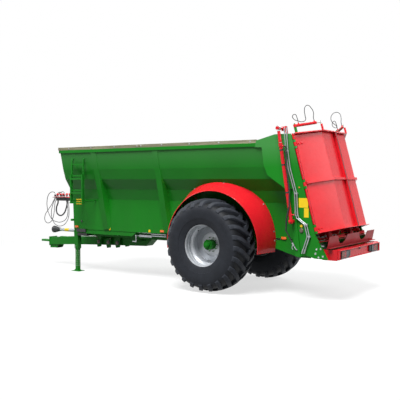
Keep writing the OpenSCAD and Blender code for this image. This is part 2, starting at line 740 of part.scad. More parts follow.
module pto_guard() {
    color(GREY) from_axle() translate([0, 0, pto_z]) rotate([0, 90, 0]) difference() {
        union() {
            translate([0, 0, body_front + 62]) cylinder(d = 80, h = 1198, $fn = 48);
            translate([0, 0, 5440]) cylinder(d1 = 80, d2 = 180, h = 180, $fn = 48);
            translate([0, 0, body_front + 62]) cylinder(d = 130, h = 70, $fn = 48);
        }
        translate([0, 0, body_front]) cylinder(d = 60, h = 1500, $fn = 48);
        translate([0, 0, 5480]) cylinder(d1 = 70, d2 = 172, h = 160, $fn = 48);
    }
}

hose_d = 16;
bundle_d = 36;
ram_hose_d = 13;

module front_hose_loop_a() { color(BLACK) from_axle() hose(FRONT_LOOP_A, hose_d, [0.4, 1, 0.3]); }

module front_hose_loop_b() { color(BLACK) from_axle() hose(FRONT_LOOP_B, hose_d, [0.4, 1, 0.3]); }

module front_hose_loop_c() { color(BLACK) from_axle() hose(FRONT_LOOP_C, hose_d, [0.4, 1, 0.3]); }

module front_hose_loop_d() { color(BLACK) from_axle() hose(FRONT_LOOP_D, bundle_d, [0.4, 1, 0.3]); }

module left_rear_hose() { color(BLACK) from_axle() hose(LEFT_REAR_LOOP, ram_hose_d, [0.8, -0.6, 0]); }

module right_rear_hose() { color(BLACK) from_axle() hose(RIGHT_REAR_LOOP, ram_hose_d, [0.6, -0.8, 0]); }

// ------------------------------------------------------------ floor and drives
module beater_gearboxes() {
    neck = pan_z - 8;
    color(DARK_GREEN) from_axle() {
        both_sides() at_left_beater() {
            translate([0, 0, -230]) cylinder(d = 250, h = 130, $fn = 48);
            difference() {
                translate([0, 0, -240]) cylinder(d = 150, h = 240 + neck, $fn = 48);
                translate([0, 0, -70]) cylinder(d = 122, h = 60, $fn = 48);
            }
            translate([0, 0, -100]) cylinder(d = 60 - 2 * run, h = 84, $fn = 48);
        }
        block([-2330, -430, 880], [-2230, 430, 960]);
        block([-2300, -120, 820], [-1960, 120, 1000]);
    }
}

CHAIN_Y = [-580, -60, 60, 580];
conveyor_front = 4080;
conveyor_back = -1850;
chain_t = 18;
chain_w = 30;
sprocket_r = 44;                  // inner radius of the chain loops at their ends
conveyor_z = floor_z - sprocket_r;
slat_pitch = 350;
floor_t = 20;

module floor_conveyor() {
    color(GREY) from_axle() {
        for (y = CHAIN_Y) translate([0, y - chain_w / 2, 0]) chain_loop();
        for (x = [conveyor_back + 100:slat_pitch:conveyor_front - 60])
            for (side = [-1, 1]) for (z = [floor_z + 4, conveyor_z - sprocket_r - chain_t - 6])
                block([x, side > 0 ? 60 : -580, z], [x + 40, side > 0 ? 580 : -60, z + 24]);
        for (x = [conveyor_back, conveyor_front]) {
            half = x < 0 ? 715 : wall_y(conveyor_z - shaft_d / 2) - sheet - 1;
            bar([x, -half, conveyor_z], [x, half, conveyor_z], shaft_d);
            for (y = CHAIN_Y) bar([x, y - 8, conveyor_z], [x, y + 8, conveyor_z], 2 * sprocket_r);
        }
    }
}

// One endless chain, drawn as the band that its links fill
module chain_loop() {
    module outline(r) {
        translate([conveyor_back, conveyor_z]) circle(r = r, $fn = 64);
        translate([conveyor_front, conveyor_z]) circle(r = r, $fn = 64);
        translate([conveyor_back, conveyor_z - r]) square([conveyor_front - conveyor_back, 2 * r]);
    }
    translate([0, chain_w, 0]) rotate([90, 0, 0]) linear_extrude(chain_w) difference() {
        outline(sprocket_r + chain_t);
        outline(sprocket_r);
    }
}

module gate_barrels() {
    up = [sin(gate_lean), 0, cos(gate_lean)];
    foot = [lift_x, lift_y, lift_z] - lift_len * up;
    color(RED) from_axle() both_sides() {
        difference() {
            union() {
                bar(foot, foot + lift_barrel_len * up, 62);
                bar(foot + (lift_barrel_len - 70) * up, foot + lift_barrel_len * up, 74);
                bar(foot + [0, -24, 0], foot + [0, 24, 0], 84);
                bar(foot + 120 * up, foot + 120 * up + [-50, 0, 0], 30);
                bar(foot + (lift_barrel_len - 60) * up, foot + (lift_barrel_len - 60) * up + [-58, 0, 0], 30);
            }
            bar(foot + 60 * up, foot + (lift_barrel_len + 5) * up, 36 + 2 * run);
        }
        bar([foot[0], flange_y, foot[2]], [foot[0], lift_y + 55, foot[2]], 34);
        bar([foot[0], flange_y, foot[2]], [foot[0], flange_y + 40, foot[2]], 70);
    }
}

module gate_rods() {
    up = [sin(gate_lean), 0, cos(gate_lean)];
    tip = [lift_x, lift_y, lift_z];
    color(GREY) from_axle() both_sides() {
        bar(tip - (lift_len - 130) * up, tip - 30 * up, 36);
        bar(tip + [0, -22, 0], tip + [0, 22, 0], 96);
    }
}

module slurry_gate() {
    half = frame_y - frame_plate - 8;
    color(RED) from_axle() {
        gate_slab(-20 - gate_t, -20, -half, half, gate_foot_z, gate_head_z);
        for (z = [1400, 1850, 2300, 2700]) gate_slab(-42, -20 - gate_t, 60 - half, half - 60, z, z + 60);
        gate_slab(-52, -20, 40 - half, half - 40, gate_head_z, gate_head_z + 60);
        both_sides() {
            gate_slab(-50, -22, half - 90, half - 40, gate_head_z + 60, lift_z + 45);
            block([gate_x(lift_z) - 46, half - 90, lift_z - 40], [lift_x + 35, half - 70, lift_z + 40]);
            bar([lift_x, half - 70, lift_z], [lift_x, lift_y - 22, lift_z], 44);
            bar([lift_x, lift_y + 22, lift_z], [lift_x, lift_y + 50, lift_z], 60);
        }
    }
}

module side_markers() {
    color(ORANGE) from_axle() both_sides() for (x = [4100, 1525, -1390])
        block([x - 50, wall_y(skirt_z + 80), skirt_z + 35], [x + 50, floor_half + 24, skirt_z + 80]);
}

// Lidded box that hangs outside the frame's beam, behind the jack
module storage_box() {
    low = [3830, beam_y + 50, 860];
    high = [4130, beam_y + 190, 980];
    lid = [4, 0, 4];
    color(BLACK) from_axle() {
        block(low, high);
        block([low[0], low[1], high[2] - 30] - lid, high + lid);
        for (x = [low[0] + 60, high[0] - 80])
            block([x, high[1], high[2] - 60], [x + 20, high[1] + 6, high[2] - 16]);
    }
}

pipe_d = 20;
pipe_gap = 42;
pipe_y = flange_y + pipe_d / 2 + 4;

module hydraulic_pipes() {
    color(GREY) from_axle() {
        both_sides() {
            for (dx = [0, pipe_gap]) pipe([for (p = RISER) [p[0] + dx, pipe_y, p[1]]], pipe_d);
            for (i = [1, 3, 6, 7])
                block([RISER[i][0] - 15, i == 1 ? flange_y : frame_y, RISER[i][1] - 15],
                      [RISER[i][0] + pipe_gap + 15, pipe_y, RISER[i][1] + 15]);
        }
        both_sides() {
            bar([1462, 618, 1000], [1870, 618, 1000], 34);
            bar([1462, 618, 955], [1870, 618, 955], 24);
        }
    }
}

module gate_hoses() {
    color(BLACK) from_axle() both_sides() {
        pipe([for (p = DROP) [p[0], lift_y + p[2], p[1]]], 26);
        for (i = [3, 7]) block([DROP[i][0] - 12, flange_y - (i == 7 ? 20 : 0), DROP[i][1] - 12],
                               [DROP[i][0] + 12, lift_y + DROP[i][2], DROP[i][1] + 12]);
    }
}

module brake_crank() {
    color(GREY) from_axle() {
        bar([2290, beam_y + 50, 945], [2290, 660, 945], 30);
        bar([2290, 648, 955], [2290, 648, 812], 22);
        bar([2280, 648, 812], [2385, 648, 812], 24);
        block([1870, 594, 918], [2220, bearer_half, 965]);
        bar([2210, 604, 942], [2290, 604, 942], 18);
    }
}

// ---------------------------------------------------------------------- wheels
wheel_mid = track_w / 2;

module on_left_spindle() {
    translate([0, wheel_mid, axle_z]) rotate([-90, 0, 0]) children();
}

module tyre() {
    r = tyre_d / 2;
    w = tyre_w / 2;
    bead = rim_d / 2 - 8;
    t = 40;
    rotate_extrude($fn = 128) difference() {
        polygon([[bead, -w + 130], [r - 300, -w], [r - 160, -w], [r - 60, -w + 25], [r, -w + 110],
                 [r, w - 110], [r - 60, w - 25], [r - 160, w], [r - 300, w], [bead, w - 130]]);
        polygon([[bead - 1, -w + 130 + t], [r - 290, -w + t], [r - 165, -w + t], [r - 80, -w + 60],
                 [r - 45, -w + 130], [r - 45, w - 130], [r - 80, w - 60], [r - 165, w - t],
                 [r - 290, w - t], [bead - 1, w - 130 - t]]);
    }
}

// Half width of the rim's well and the outline of its barrel: [radius, z]
module rim() {
    r = rim_d / 2;
    w = tyre_w / 2 - 120;
    barrel = [[r, -w - 22], [r, -w - 10], [r - 26, -w], [r - 26, -w + 60], [r - 60, -w + 90],
              [r - 60, w - 200], [r - 26, w - 160], [r - 26, w], [r, w + 10], [r, w + 22]];
    disc_z = -60;
    difference() {
        union() {
            rotate_extrude($fn = 128)
                polygon(concat(barrel, reversed([for (p = barrel) [p[0] - 8, p[1]]])));
            rotate_extrude($fn = 128) polygon([[100, disc_z], [230, disc_z], [r - 62, disc_z - 40],
                                               [r - 62, disc_z - 54], [230, disc_z - 14], [100, disc_z - 14]]);
        }
        studs(24);
    }
}

STUDS = 10;

module studs(d) {
    for (i = [0:STUDS - 1]) rotate([0, 0, i * 360 / STUDS]) translate([136, 0, -80])
        cylinder(d = d, h = 52, $fn = 24);
}

module hub() {
    difference() {
        union() {
            translate([0, 0, -160]) cylinder(r = 160, h = 85, $fn = 64);
            translate([0, 0, -76]) cylinder(r = 98, h = 166, $fn = 64);
            translate([0, 0, 88]) cylinder(r = 60, h = 50, $fn = 48);
            studs(22);
        }
        translate([0, 0, -161]) cylinder(d = spindle_d + 2 * run, h = 241, $fn = 64);
    }
}

module left_tyre() { color(TYRE) from_axle() on_left_spindle() tyre(); }

module right_tyre() { color(TYRE) from_axle() right_side() on_left_spindle() tyre(); }

module left_rim() { color(SILVER) from_axle() on_left_spindle() rim(); }

module right_rim() { color(SILVER) from_axle() right_side() on_left_spindle() rim(); }

module left_hub() { color(GREEN) from_axle() on_left_spindle() hub(); }

module right_hub() { color(GREEN) from_axle() right_side() on_left_spindle() hub(); }

// ----------------------------------------------------------------- rear doors
// The door's plan outline at a distance d outside its inner face, from the hinge inwards
function door_line(d, y_end) = [
    [-14 * sin(fold_turn) - d * cos(fold_turn) - 6, d * sin(fold_turn) - 14 * cos(fold_turn) - 14],
    [-door_back - d, -door_in + d * tan(fold_turn / 2)],
    [-door_back - d, -y_end]];

function door_band(d0, d1, y_end) = concat(door_line(d0, y_end), reversed(door_line(d1, y_end)));

module door_slab(z0, z1, d0, d1) {
    translate([0, 0, z0]) linear_extrude(z1 - z0) polygon(door_band(d0, d1, frame_y - seam_gap));
}

module door() {
    seam_y = frame_y - seam_gap;
    door_slab(0, door_h, 0, door_t);
    door_slab(0, 8, 0, 62);
    door_slab(door_h - 8, door_h, 0, 62);
    difference() {
        door_slab(door_h / 2 - 22, door_h / 2 + 22, 0, 44);
        door_slab(door_h / 2 - 17, door_h / 2 + 17, -1, 39);
    }
    block([-door_back - 50, -seam_y, 0], [-door_back, -seam_y + 6, door_h]);
    for (z = HINGES) difference() {
        union() {
            translate([0, 0, z - 35]) cylinder(d = 44, h = 70, $fn = 48);
            block([-34, -44, z - 35], [-10, -10, z + 35]);
        }
        translate([0, 0, z - 40]) cylinder(d = hinge_pin_d + 2 * run, h = 80, $fn = 48);
    }
    translate([ram_tip[0], ram_tip[1], door_h - 8]) cylinder(d = 40, h = ram_lift - 30, $fn = 48);
}

module left_door() { color(RED) from_axle() at_left_hinge() door(); }

module right_door() { color(RED) from_axle() right_side() at_left_hinge() door(); }

module at_left_ram() {
    at_left_hinge() translate([ram_base[0], ram_base[1], door_h + ram_lift])
        rotate([0, 0, ram_turn]) rotate([0, 90, 0]) children();
}

module door_barrel() {
    port_r = 14;
    difference() {
        union() {
            translate([0, 0, 20]) cylinder(d = 54, h = ram_barrel_len - 20, $fn = 48);
            rotate([0, 90, 0]) translate([0, 0, -25]) cylinder(d = 56, h = 50, $fn = 48);
            for (z = [80, ram_barrel_len - 30]) translate([0, 0, z]) rotate([0, -90, 0])
                cylinder(r = port_r, h = 45, $fn = 32);
        }
        rotate([0, 90, 0]) translate([0, 0, -30]) cylinder(d = 25 + 2 * run, h = 60, $fn = 48);
        translate([0, 0, 60]) cylinder(d = 28 + 2 * run, h = ram_barrel_len, $fn = 48);
    }
}

module door_rod() {
    difference() {
        union() {
            translate([0, 0, 80]) cylinder(d = 28, h = ram_len - 80, $fn = 48);
            translate([0, 0, ram_len]) rotate([0, 90, 0]) translate([0, 0, -22])
                cylinder(d = 50, h = 44, $fn = 48);
        }
    }
    translate([0, 0, ram_len]) rotate([0, 90, 0]) translate([0, 0, -30]) cylinder(d = 22, h = 60, $fn = 48);
}

module left_door_barrel() { color(RED) from_axle() at_left_ram() door_barrel(); }

module right_door_barrel() { color(RED) from_axle() right_side() at_left_ram() door_barrel(); }

module left_door_rod() { color(GREY) from_axle() at_left_ram() door_rod(); }

module right_door_rod() { color(GREY) from_axle() right_side() at_left_ram() door_rod(); }

// --------------------------------------------------------------------- beaters
SECTORS = 27;                     // flat plates along each flight
sector_turn = 24;                 // from one plate to the next, in degrees
sector_rise = 50;
sector_tilt = 41;                 // the helix angle at half the flight's width
flight_r = beater_r - 24;
flight_t = 12;
flight_low = 100;
flight_start = 7;                 // keeps the plates off the tube's seam
KNIFE_STEP = 3;                   // a knife stands on every third plate

module flight_sector() {
    half = flight_r * tan(sector_turn / 2) * 1.3;
    translate([0, 0, -flight_t / 2]) linear_extrude(flight_t)
        polygon([[30, -20], [flight_r - 6, -half], [flight_r, 0], [flight_r - 6, half], [30, 20]]);
}

// A beater: a tube with two flights of welded sectors that carry knives, over a throwing disc
// with paddles
module beater(hand) {
    difference() {
        union() {
            translate([0, 0, -62]) cylinder(d = 110, h = beater_len + 62, $fn = 48);
            cylinder(d = 60, h = beater_len + 250, $fn = 48);
            cylinder(r = disc_r, h = 8, $fn = 64);
            cylinder(r = 90, h = 30, $fn = 48);
        }
        translate([0, 0, -70]) cylinder(d = 60, h = 60, $fn = 48);
    }
    for (start = [flight_start, 180 + flight_start]) for (i = [0:SECTORS - 1])
        translate([0, 0, flight_low + i * sector_rise]) rotate([0, 0, start + hand * i * sector_turn]) {
            rotate([hand * sector_tilt, 0, 0]) flight_sector();
            if (i % KNIFE_STEP == 1) block([beater_r - 80, -7, -38], [beater_r, 7, 38]);
        }
    for (i = [0:3]) rotate([0, 0, 45 + 90 * i])
        prism_y([[60, 4], [disc_r - 12, 4], [disc_r - 12, 60], [60, 18]], -5, 5);
}

module left_beater() { color(RED) from_axle() at_left_beater() beater(1); }

module right_beater() { color(RED) from_axle() right_side() at_left_beater() beater(1); }

// ------------------------------------------------------------------- selection
left_side_wall();
right_side_wall();
front_wall();
floor_deck();
side_ribs();
top_rails();
timber_boards();
rear_gussets();
left_rear_frame();
right_rear_frame();
rear_roof_beam();
beater_pan();
rear_bumper();
rear_lamps();
main_frame();
cross_members();
drawbar();
towing_eye();
axle();
left_mudguard();
right_mudguard();
jack_sleeve();
ladder();
hose_holder();
driveline();
beater_gearboxes();
floor_conveyor();
gate_barrels();
side_markers();
storage_box();
hydraulic_pipes();
gate_hoses();
brake_crank();
pto_guard();
front_hose_loop_a();
front_hose_loop_b();
front_hose_loop_c();
front_hose_loop_d();
left_rear_hose();
right_rear_hose();
left_tyre();
left_rim();
left_hub();
right_tyre();
right_rim();
right_hub();
left_door();
right_door();
left_door_barrel();
right_door_barrel();
left_door_rod();
right_door_rod();
slurry_gate();
gate_rods();
left_beater();
right_beater();
pto_shaft();
jack_leg();
ladder_lower();
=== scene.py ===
"""Finishes and fittings of a single-axle manure spreader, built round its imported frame.

Lengths are metres.  X runs forward to the towing eye, Y to the left and Z up.  Places that belong
to the machine's own drawing are counted from the axle and go through from_axle().
"""

import json
import logging
import math
from collections.abc import Callable, Iterable, Iterator, Sequence
from contextlib import contextmanager
from dataclasses import dataclass
from enum import Enum

import bmesh
import bpy
from mathutils import Matrix, Vector


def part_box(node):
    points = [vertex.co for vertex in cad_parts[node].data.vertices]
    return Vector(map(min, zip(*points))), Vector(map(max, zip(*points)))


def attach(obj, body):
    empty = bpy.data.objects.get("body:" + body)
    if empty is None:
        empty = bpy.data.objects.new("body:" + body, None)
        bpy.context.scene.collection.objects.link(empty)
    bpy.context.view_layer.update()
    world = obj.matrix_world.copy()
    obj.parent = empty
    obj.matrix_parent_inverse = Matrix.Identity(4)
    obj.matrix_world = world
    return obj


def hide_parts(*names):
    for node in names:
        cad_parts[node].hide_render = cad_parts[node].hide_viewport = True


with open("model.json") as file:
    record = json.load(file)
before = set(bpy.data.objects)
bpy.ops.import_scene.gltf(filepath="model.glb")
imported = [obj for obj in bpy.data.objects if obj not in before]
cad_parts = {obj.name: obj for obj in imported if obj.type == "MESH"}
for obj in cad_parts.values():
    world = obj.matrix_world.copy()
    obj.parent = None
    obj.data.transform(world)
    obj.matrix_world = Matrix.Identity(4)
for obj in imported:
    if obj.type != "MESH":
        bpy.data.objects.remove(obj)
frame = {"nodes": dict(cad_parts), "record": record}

LOG = logging.getLogger("spreader")
CHASSIS = "chassis"
Colour = Place = tuple[float, float, float]
Plan = Sequence[tuple[float, float]]
# The record's material slot of each node
SLOT_OF = {row["node"]: row["material_slot"] for row in frame["record"]["subparts"]}


def axle_line() -> float:
    """X of the wheels' axis in the machine's frame."""
    low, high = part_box("left_tyre")
    return (low.x + high.x) / 2


AXLE_X = axle_line()
AXLE_Z = 0.91


def from_axle(x: float, y: float, z: float) -> Vector:
    """A point whose X is counted from the axle.

    Args:
        x: Distance ahead of the axle.
        y: Distance to the left of the middle plane.
        z: Height over the ground.

    Returns:
        The same point in the machine's frame.
    """
    return Vector((AXLE_X + x, y, z))


class Side(Enum):
    """The machine's two sides, valued by the sign of their Y."""

    LEFT = 1
    RIGHT = -1

    @property
    def word(self) -> str:
        """The side's name as the nodes spell it."""
        return self.name.lower()


# ------------------------------------------------------------------------ leaning frames
@dataclass(frozen=True)
class Lean:
    """An upright line of the rear that leans forward at its top."""

    foot_x: float
    foot_z: float
    degrees: float

    def up(self) -> Vector:
        """Unit vector along the line."""
        turn = math.radians(self.degrees)
        return Vector((math.sin(turn), 0.0, math.cos(turn)))


HINGE = Lean(-2.249, 1.224, 15.0)
DOOR_TALL = 1.839
# Half width of the rear frame over its side plates
FRAME_Y = 1.1
# Folded side wall, top to bottom: half width and height of each fold
WALL = ((1.09, 2.8), (1.003, 2.41), (0.932, 2.19), (0.78, 1.965), (0.702, 1.735), (0.668, 1.02))


def wall_y(z: float) -> float:
    """Half width of the body's outer skin at a height.

    Args:
        z: Height over the ground.

    Returns:
        Its distance from the middle plane.
    """
    for (y1, z1), (y0, z0) in zip(WALL, WALL[1:]):
        if z >= z0:
            return y0 + (y1 - y0) * (z - z0) / (z1 - z0)
    return WALL[-1][0]


def wall_normal(z: float) -> Vector:
    """Outward normal of the left wall at a height."""
    slope = (wall_y(z + 0.01) - wall_y(z - 0.01)) / 0.02
    return Vector((0.0, 1.0, -slope)).normalized()


def hinge_point(x: float, y: float, z: float) -> Vector:
    """A point given along the left door's leaning hinge axis.

    Args:
        x: Distance ahead of the axis, square to it.
        y: Distance outside the axis.
        z: Distance up the axis from its foot.

    Returns:
        The point in the machine's frame.
    """
    turn = math.radians(HINGE.degrees)
    return from_axle(
        HINGE.foot_x + x * math.cos(turn) + z * math.sin(turn),
        FRAME_Y + y,
        HINGE.foot_z - x * math.sin(turn) + z * math.cos(turn),
    )


# ---------------------------------------------------------------------------- modelling
FORWARD, LEFT, UP = Vector((1, 0, 0)), Vector((0, 1, 0)), Vector((0, 0, 1))
# An outline that starts within this distance of the axis is a full piece, not a ring
ON_AXIS = 0.002
# Points closer than this are one point
MERGE = 1e-5


def deselect() -> None:
    """Leaves nothing selected."""
    bpy.ops.object.select_all(action="DESELECT")


def choose(*pieces: bpy.types.Object) -> None:
    """Selects these objects alone and makes the first of them the active one.

    Args:
        pieces: The objects to select.
    """
    deselect()
    for obj in pieces:
        obj.select_set(True)
    bpy.context.view_layer.objects.active = pieces[0]


@contextmanager
def editing(obj: bpy.types.Object, kind: str = "FACE") -> Iterator[None]:
    """Opens an object in edit mode with everything selected.

    Args:
        obj: The mesh to open.
        kind: VERT, EDGE or FACE, which the operators then work on.

    Returns:
        A context that goes back to object mode.
    """
    choose(obj)
    bpy.ops.object.mode_set(mode="EDIT")
    bpy.ops.mesh.select_mode(type=kind)
    bpy.ops.mesh.select_all(action="SELECT")
    yield
    bpy.ops.object.mode_set(mode="OBJECT")


def pick(obj: bpy.types.Object, test: Callable[[Vector, Vector], bool]) -> None:
    """Selects the faces of the open mesh that pass a test.

    Args:
        obj: The mesh that is open in edit mode.
        test: Takes a face's middle and its normal.
    """
    mesh = bmesh.from_edit_mesh(obj.data)
    for face in mesh.faces:
        face.select_set(test(face.calc_center_median(), face.normal))
    bmesh.update_edit_mesh(obj.data)


def tidy(obj: bpy.types.Object, angle: float = 35.0) -> bpy.types.Object:
    """Merges doubled points, turns the faces outwards and smooths the round ones.

    Args:
        obj: The mesh to clean.
        angle: Degrees past which an edge stays sharp.

    Returns:
        The same object.
    """
    with editing(obj, "VERT"):
        bpy.ops.mesh.remove_doubles(threshold=MERGE)
        bpy.ops.mesh.normals_make_consistent(inside=False)
    deselect()
    obj.select_set(True)
    bpy.ops.object.shade_smooth_by_angle(angle=math.radians(angle))
    return obj


def rounded(obj: bpy.types.Object, width: float, segments: int = 2) -> bpy.types.Object:
    """Rounds the sharp edges of a mesh by a bevel that is then applied.

    Args:
        obj: The mesh to change.
        width: The bevel's width.
        segments: Number of flats across it.

    Returns:
        The same object.
    """
    choose(obj)
    bevel = obj.modifiers.new("round", "BEVEL")
    bevel.width = width
    bevel.segments = segments
    bevel.limit_method = "ANGLE"
    bpy.ops.object.modifier_apply(modifier=bevel.name)
    return obj


def thickened(obj: bpy.types.Object, thick: float, offset: float) -> bpy.types.Object:
    """Gives a sheet a thickness, inwards at an offset of -1 and both ways at 0.

    Args:
        obj: The sheet.
        thick: Its thickness.
        offset: Which way it grows.

    Returns:
        The same object.
    """
    choose(obj)
    wall = obj.modifiers.new("wall", "SOLIDIFY")
    wall.thickness, wall.offset = thick, offset
    bpy.ops.object.modifier_apply(modifier=wall.name)
    return obj


def route(*places: Place) -> list[Vector]:
    """Points of the machine whose X is counted from the axle."""
    return [from_axle(*place) for place in places]


def slab(low_place: Place, high_place: Place, bevel: float = 0.003) -> bpy.types.Object:
    """A box with rounded edges between two corners, whose X is counted from the axle.

    Args:
        low_place: Its corner with the lowest coordinates.
        high_place: The opposite corner.
        bevel: Width of its edges, or 0.

    Returns:
        The box.
    """
    low, high = route(low_place, high_place)
    deselect()
    bpy.ops.mesh.primitive_cube_add(size=1.0, location=(low + high) / 2)
    obj = bpy.context.object
    obj.scale = high - low
    bpy.ops.object.transform_apply(location=True, rotation=True, scale=True)
    return rounded(obj, bevel) if bevel else obj


def disc(radius: float, depth: float, sides: int = 24, bevel: float = 0.0) -> bpy.types.Object:
    """A round, or at few sides angular, button that stands on the origin and faces +Z.

    Args:
        radius: Its radius over its corners.
        depth: Its height.
        sides: Number of flats round it.
        bevel: Width of the chamfer round its face, or 0.

    Returns:
        The button.
    """
    deselect()
    bpy.ops.mesh.primitive_cylinder_add(
        vertices=sides, radius=radius, depth=depth, location=(0, 0, depth / 2)
    )
    obj = bpy.context.object
    bpy.ops.object.transform_apply(location=True, rotation=True, scale=True)
    if bevel:
        with editing(obj):
            pick(obj, lambda middle, normal: normal.z > 0.9)
            bpy.ops.mesh.inset(thickness=bevel)
            bpy.ops.transform.translate(value=(0, 0, bevel * 0.6))
    return obj


def chain(points: Sequence[Vector], closed: bool = False) -> bpy.types.Object:
    """A line of edges drawn by extruding one point along a list of places.

    Args:
        points: The places in order.
        closed: True to join the ends and fill the outline.

    Returns:
        The line, or the filled outline.
    """
    deselect()
    bpy.ops.mesh.primitive_plane_add(size=0.01)
    obj = bpy.context.object
    with editing(obj, "VERT"):
        bpy.ops.mesh.merge(type="CENTER")
        bpy.ops.transform.translate(value=points[0])
        for before, after in zip(points, points[1:]):
            bpy.ops.mesh.extrude_region_move(TRANSFORM_OT_translate={"value": after - before})
        if closed:
            bpy.ops.mesh.select_all(action="SELECT")
            bpy.ops.mesh.edge_face_add()
    return obj


def draped(rows: Sequence[Sequence[Vector]], thick: float = 0.0) -> bpy.types.Object:
    """A sheet laid through rows of places, all of the same count.

    Args:
        rows: The places along each row.
        thick: Thickness that it is given on both sides of the rows, or 0.

    Returns:
        The sheet.
    """
    deselect()
    bpy.ops.mesh.primitive_grid_add(x_subdivisions=len(rows[0]) - 1, y_subdivisions=len(rows) - 1)
    obj = bpy.context.object
    for vertex, place in zip(obj.data.vertices, [place for row in rows for place in row]):
        vertex.co = place
    return thickened(obj, thick, 0.0) if thick else obj


def close_ends() -> None:
    """Merges the doubled points of the open mesh and caps the holes that are left."""
    bpy.ops.mesh.remove_doubles(threshold=MERGE)
    bpy.ops.mesh.select_all(action="DESELECT")
    bpy.ops.mesh.select_non_manifold()
    bpy.ops.mesh.fill_holes(sides=0)


def plate(points: Sequence[Vector], thick: Vector, bevel: float = 0.0015) -> bpy.types.Object:
    """A flat sheet cut to an outline and given a thickness.

    Args:
        points: The outline's corners in order.
        thick: How far and which way the sheet is thickened.
        bevel: Radius of its edges, or 0.

    Returns:
        The closed sheet.
    """
    obj = chain(points, closed=True)
    with editing(obj):
        bpy.ops.mesh.extrude_region_move(TRANSFORM_OT_translate={"value": thick})
    tidy(obj)
    return rounded(obj, bevel, 1) if bevel else obj


def turned(profile: Plan, steps: int = 32) -> bpy.types.Object:
    """A turned piece about Z, or a ring where its outline starts away from the axis.

    Args:
        profile: Radius and height of each point of its outline, from the bottom up.
        steps: Number of flats round it.

    Returns:
        The closed piece.
    """
    if profile[0][0] > ON_AXIS:
        profile = (*profile, profile[0])
    obj = chain([Vector((radius, 0.0, z)) for radius, z in profile])
    with editing(obj, "VERT"):
        bpy.ops.mesh.spin(steps=steps, angle=math.tau, center=(0, 0, 0), axis=(0, 0, 1))
        bpy.ops.mesh.select_all(action="SELECT")
        close_ends()
    return tidy(obj)


def rod(points: Sequence[Vector], radius: float, sides: int = 12, closed: bool = False,
        smooth: bool = True) -> bpy.types.Object:
    """A round bar, pipe or bead bent along a line of points.

    Args:
        points: Places that it passes through.
        radius: Half of its thickness.
        sides: Number of flats round it.
        closed: True for a ring.
        smooth: False where its corners are sharp.

    Returns:
        The bar as a closed mesh.
    """
    curve = spline_through(points, radius, smooth, closed)
    curve.data.bevel_resolution = max(1, sides // 4 - 1)
    choose(curve)
    bpy.ops.object.convert(target="MESH")
    return tidy(bpy.context.object, 50)


def spline_through(points: Sequence[Vector], radius: float, smooth: bool = True,
                   closed: bool = False) -> bpy.types.Object:
    """A curve of one spline through a list of points, with a round section.

    Args:
        points: Places that it passes through.
        radius: Half of its section's thickness.
        smooth: False where its corners are sharp.
        closed: True for a ring.

    Returns:
        The curve, which is still a curve.
    """
    data = bpy.data.curves.new("line", "CURVE")
    data.dimensions = "3D"
    data.bevel_depth = radius
    data.resolution_u = 6
    data.use_fill_caps = True
    line = data.splines.new("BEZIER")
    line.bezier_points.add(len(points) - 1)
    line.use_cyclic_u = closed
    for knot, place in zip(line.bezier_points, points):
        knot.co = place
        knot.handle_left_type = knot.handle_right_type = "AUTO" if smooth else "VECTOR"
    obj = bpy.data.objects.new("line", data)
    bpy.context.collection.objects.link(obj)
    return obj


def aim(place: Vector, normal: Vector, turn: float = 0.0) -> Matrix:
    """Where a piece goes that was made on the origin facing +Z.

    Args:
        place: Its new foot.
        normal: The way that it faces.
        turn: Degrees that it is turned about that.

    Returns:
        The matrix for its mesh.
    """
    spin = Matrix.Rotation(math.radians(turn), 4, "Z")
    return Matrix.Translation(place) @ normal.to_track_quat("Z", "Y").to_matrix().to_4x4() @ spin


def boss(profile: Plan, sides: int, place: Vector, way: Vector) -> bpy.types.Object:
    """A turned piece that stands on a place and faces a way."""
    return placed(turned(profile, sides), aim(place, way))


def placed(obj: bpy.types.Object, matrix: Matrix) -> bpy.types.Object:
    """Moves a piece's mesh by a matrix and leaves its object on the origin."""
    obj.data.transform(matrix)
    return obj


def cloned(obj: bpy.types.Object, matrix: Matrix) -> bpy.types.Object:
    """A copy of a piece with its own mesh, moved by a matrix.

    Args:
        obj: The piece to copy.
        matrix: Where the copy goes.

    Returns:
        The copy.
    """
    clone = obj.copy()
    clone.data = obj.data.copy()
    clone.data.transform(matrix)
    bpy.context.collection.objects.link(clone)
    return clone


def copies(pattern: bpy.types.Object, places: Iterable[Matrix]) -> bpy.types.Object:
    """Copies a piece to each place and joins the copies.

    Args:
        pattern: The piece on the origin, which is used up.
        places: One matrix for each copy.

    Returns:
        One mesh that holds them all.
    """
    made = [cloned(pattern, matrix) for matrix in places]
    bpy.data.objects.remove(pattern)
    return joined(made)


def joined(pieces: Sequence[bpy.types.Object]) -> bpy.types.Object:
    """Joins meshes into the first of them.

    Args:
        pieces: The meshes, of which the first keeps its object.

    Returns:
        The first of them.
    """
    choose(*pieces)
    if len(pieces) > 1:
        bpy.ops.object.join()
    return pieces[0]


def mirrored(obj: bpy.types.Object) -> bpy.types.Object:
    """A piece's mirror image on the other side of the middle plane, as its own object.

    Args:
        obj: The piece, which stays.

    Returns:
        Its mirror image.
    """
    other = cloned(obj, Matrix.Scale(-1, 4, LEFT))
    other.data.flip_normals()
    return other


def both(obj: bpy.types.Object) -> bpy.types.Object:
    """Adds a piece's mirror image on the other side of the middle plane."""
    return joined([obj, mirrored(obj)])


def on_side(obj: bpy.types.Object, side: Side) -> bpy.types.Object:
    """A piece made for the left, or its mirror image instead of it for the right.

    Args:
        obj: The piece as made for the left.
        side: The side that it is for.

    Returns:
        The piece, or its mirror image.
    """
    if side is Side.LEFT:
        return obj
    twin = mirrored(obj)
    bpy.data.objects.remove(obj)
    return twin


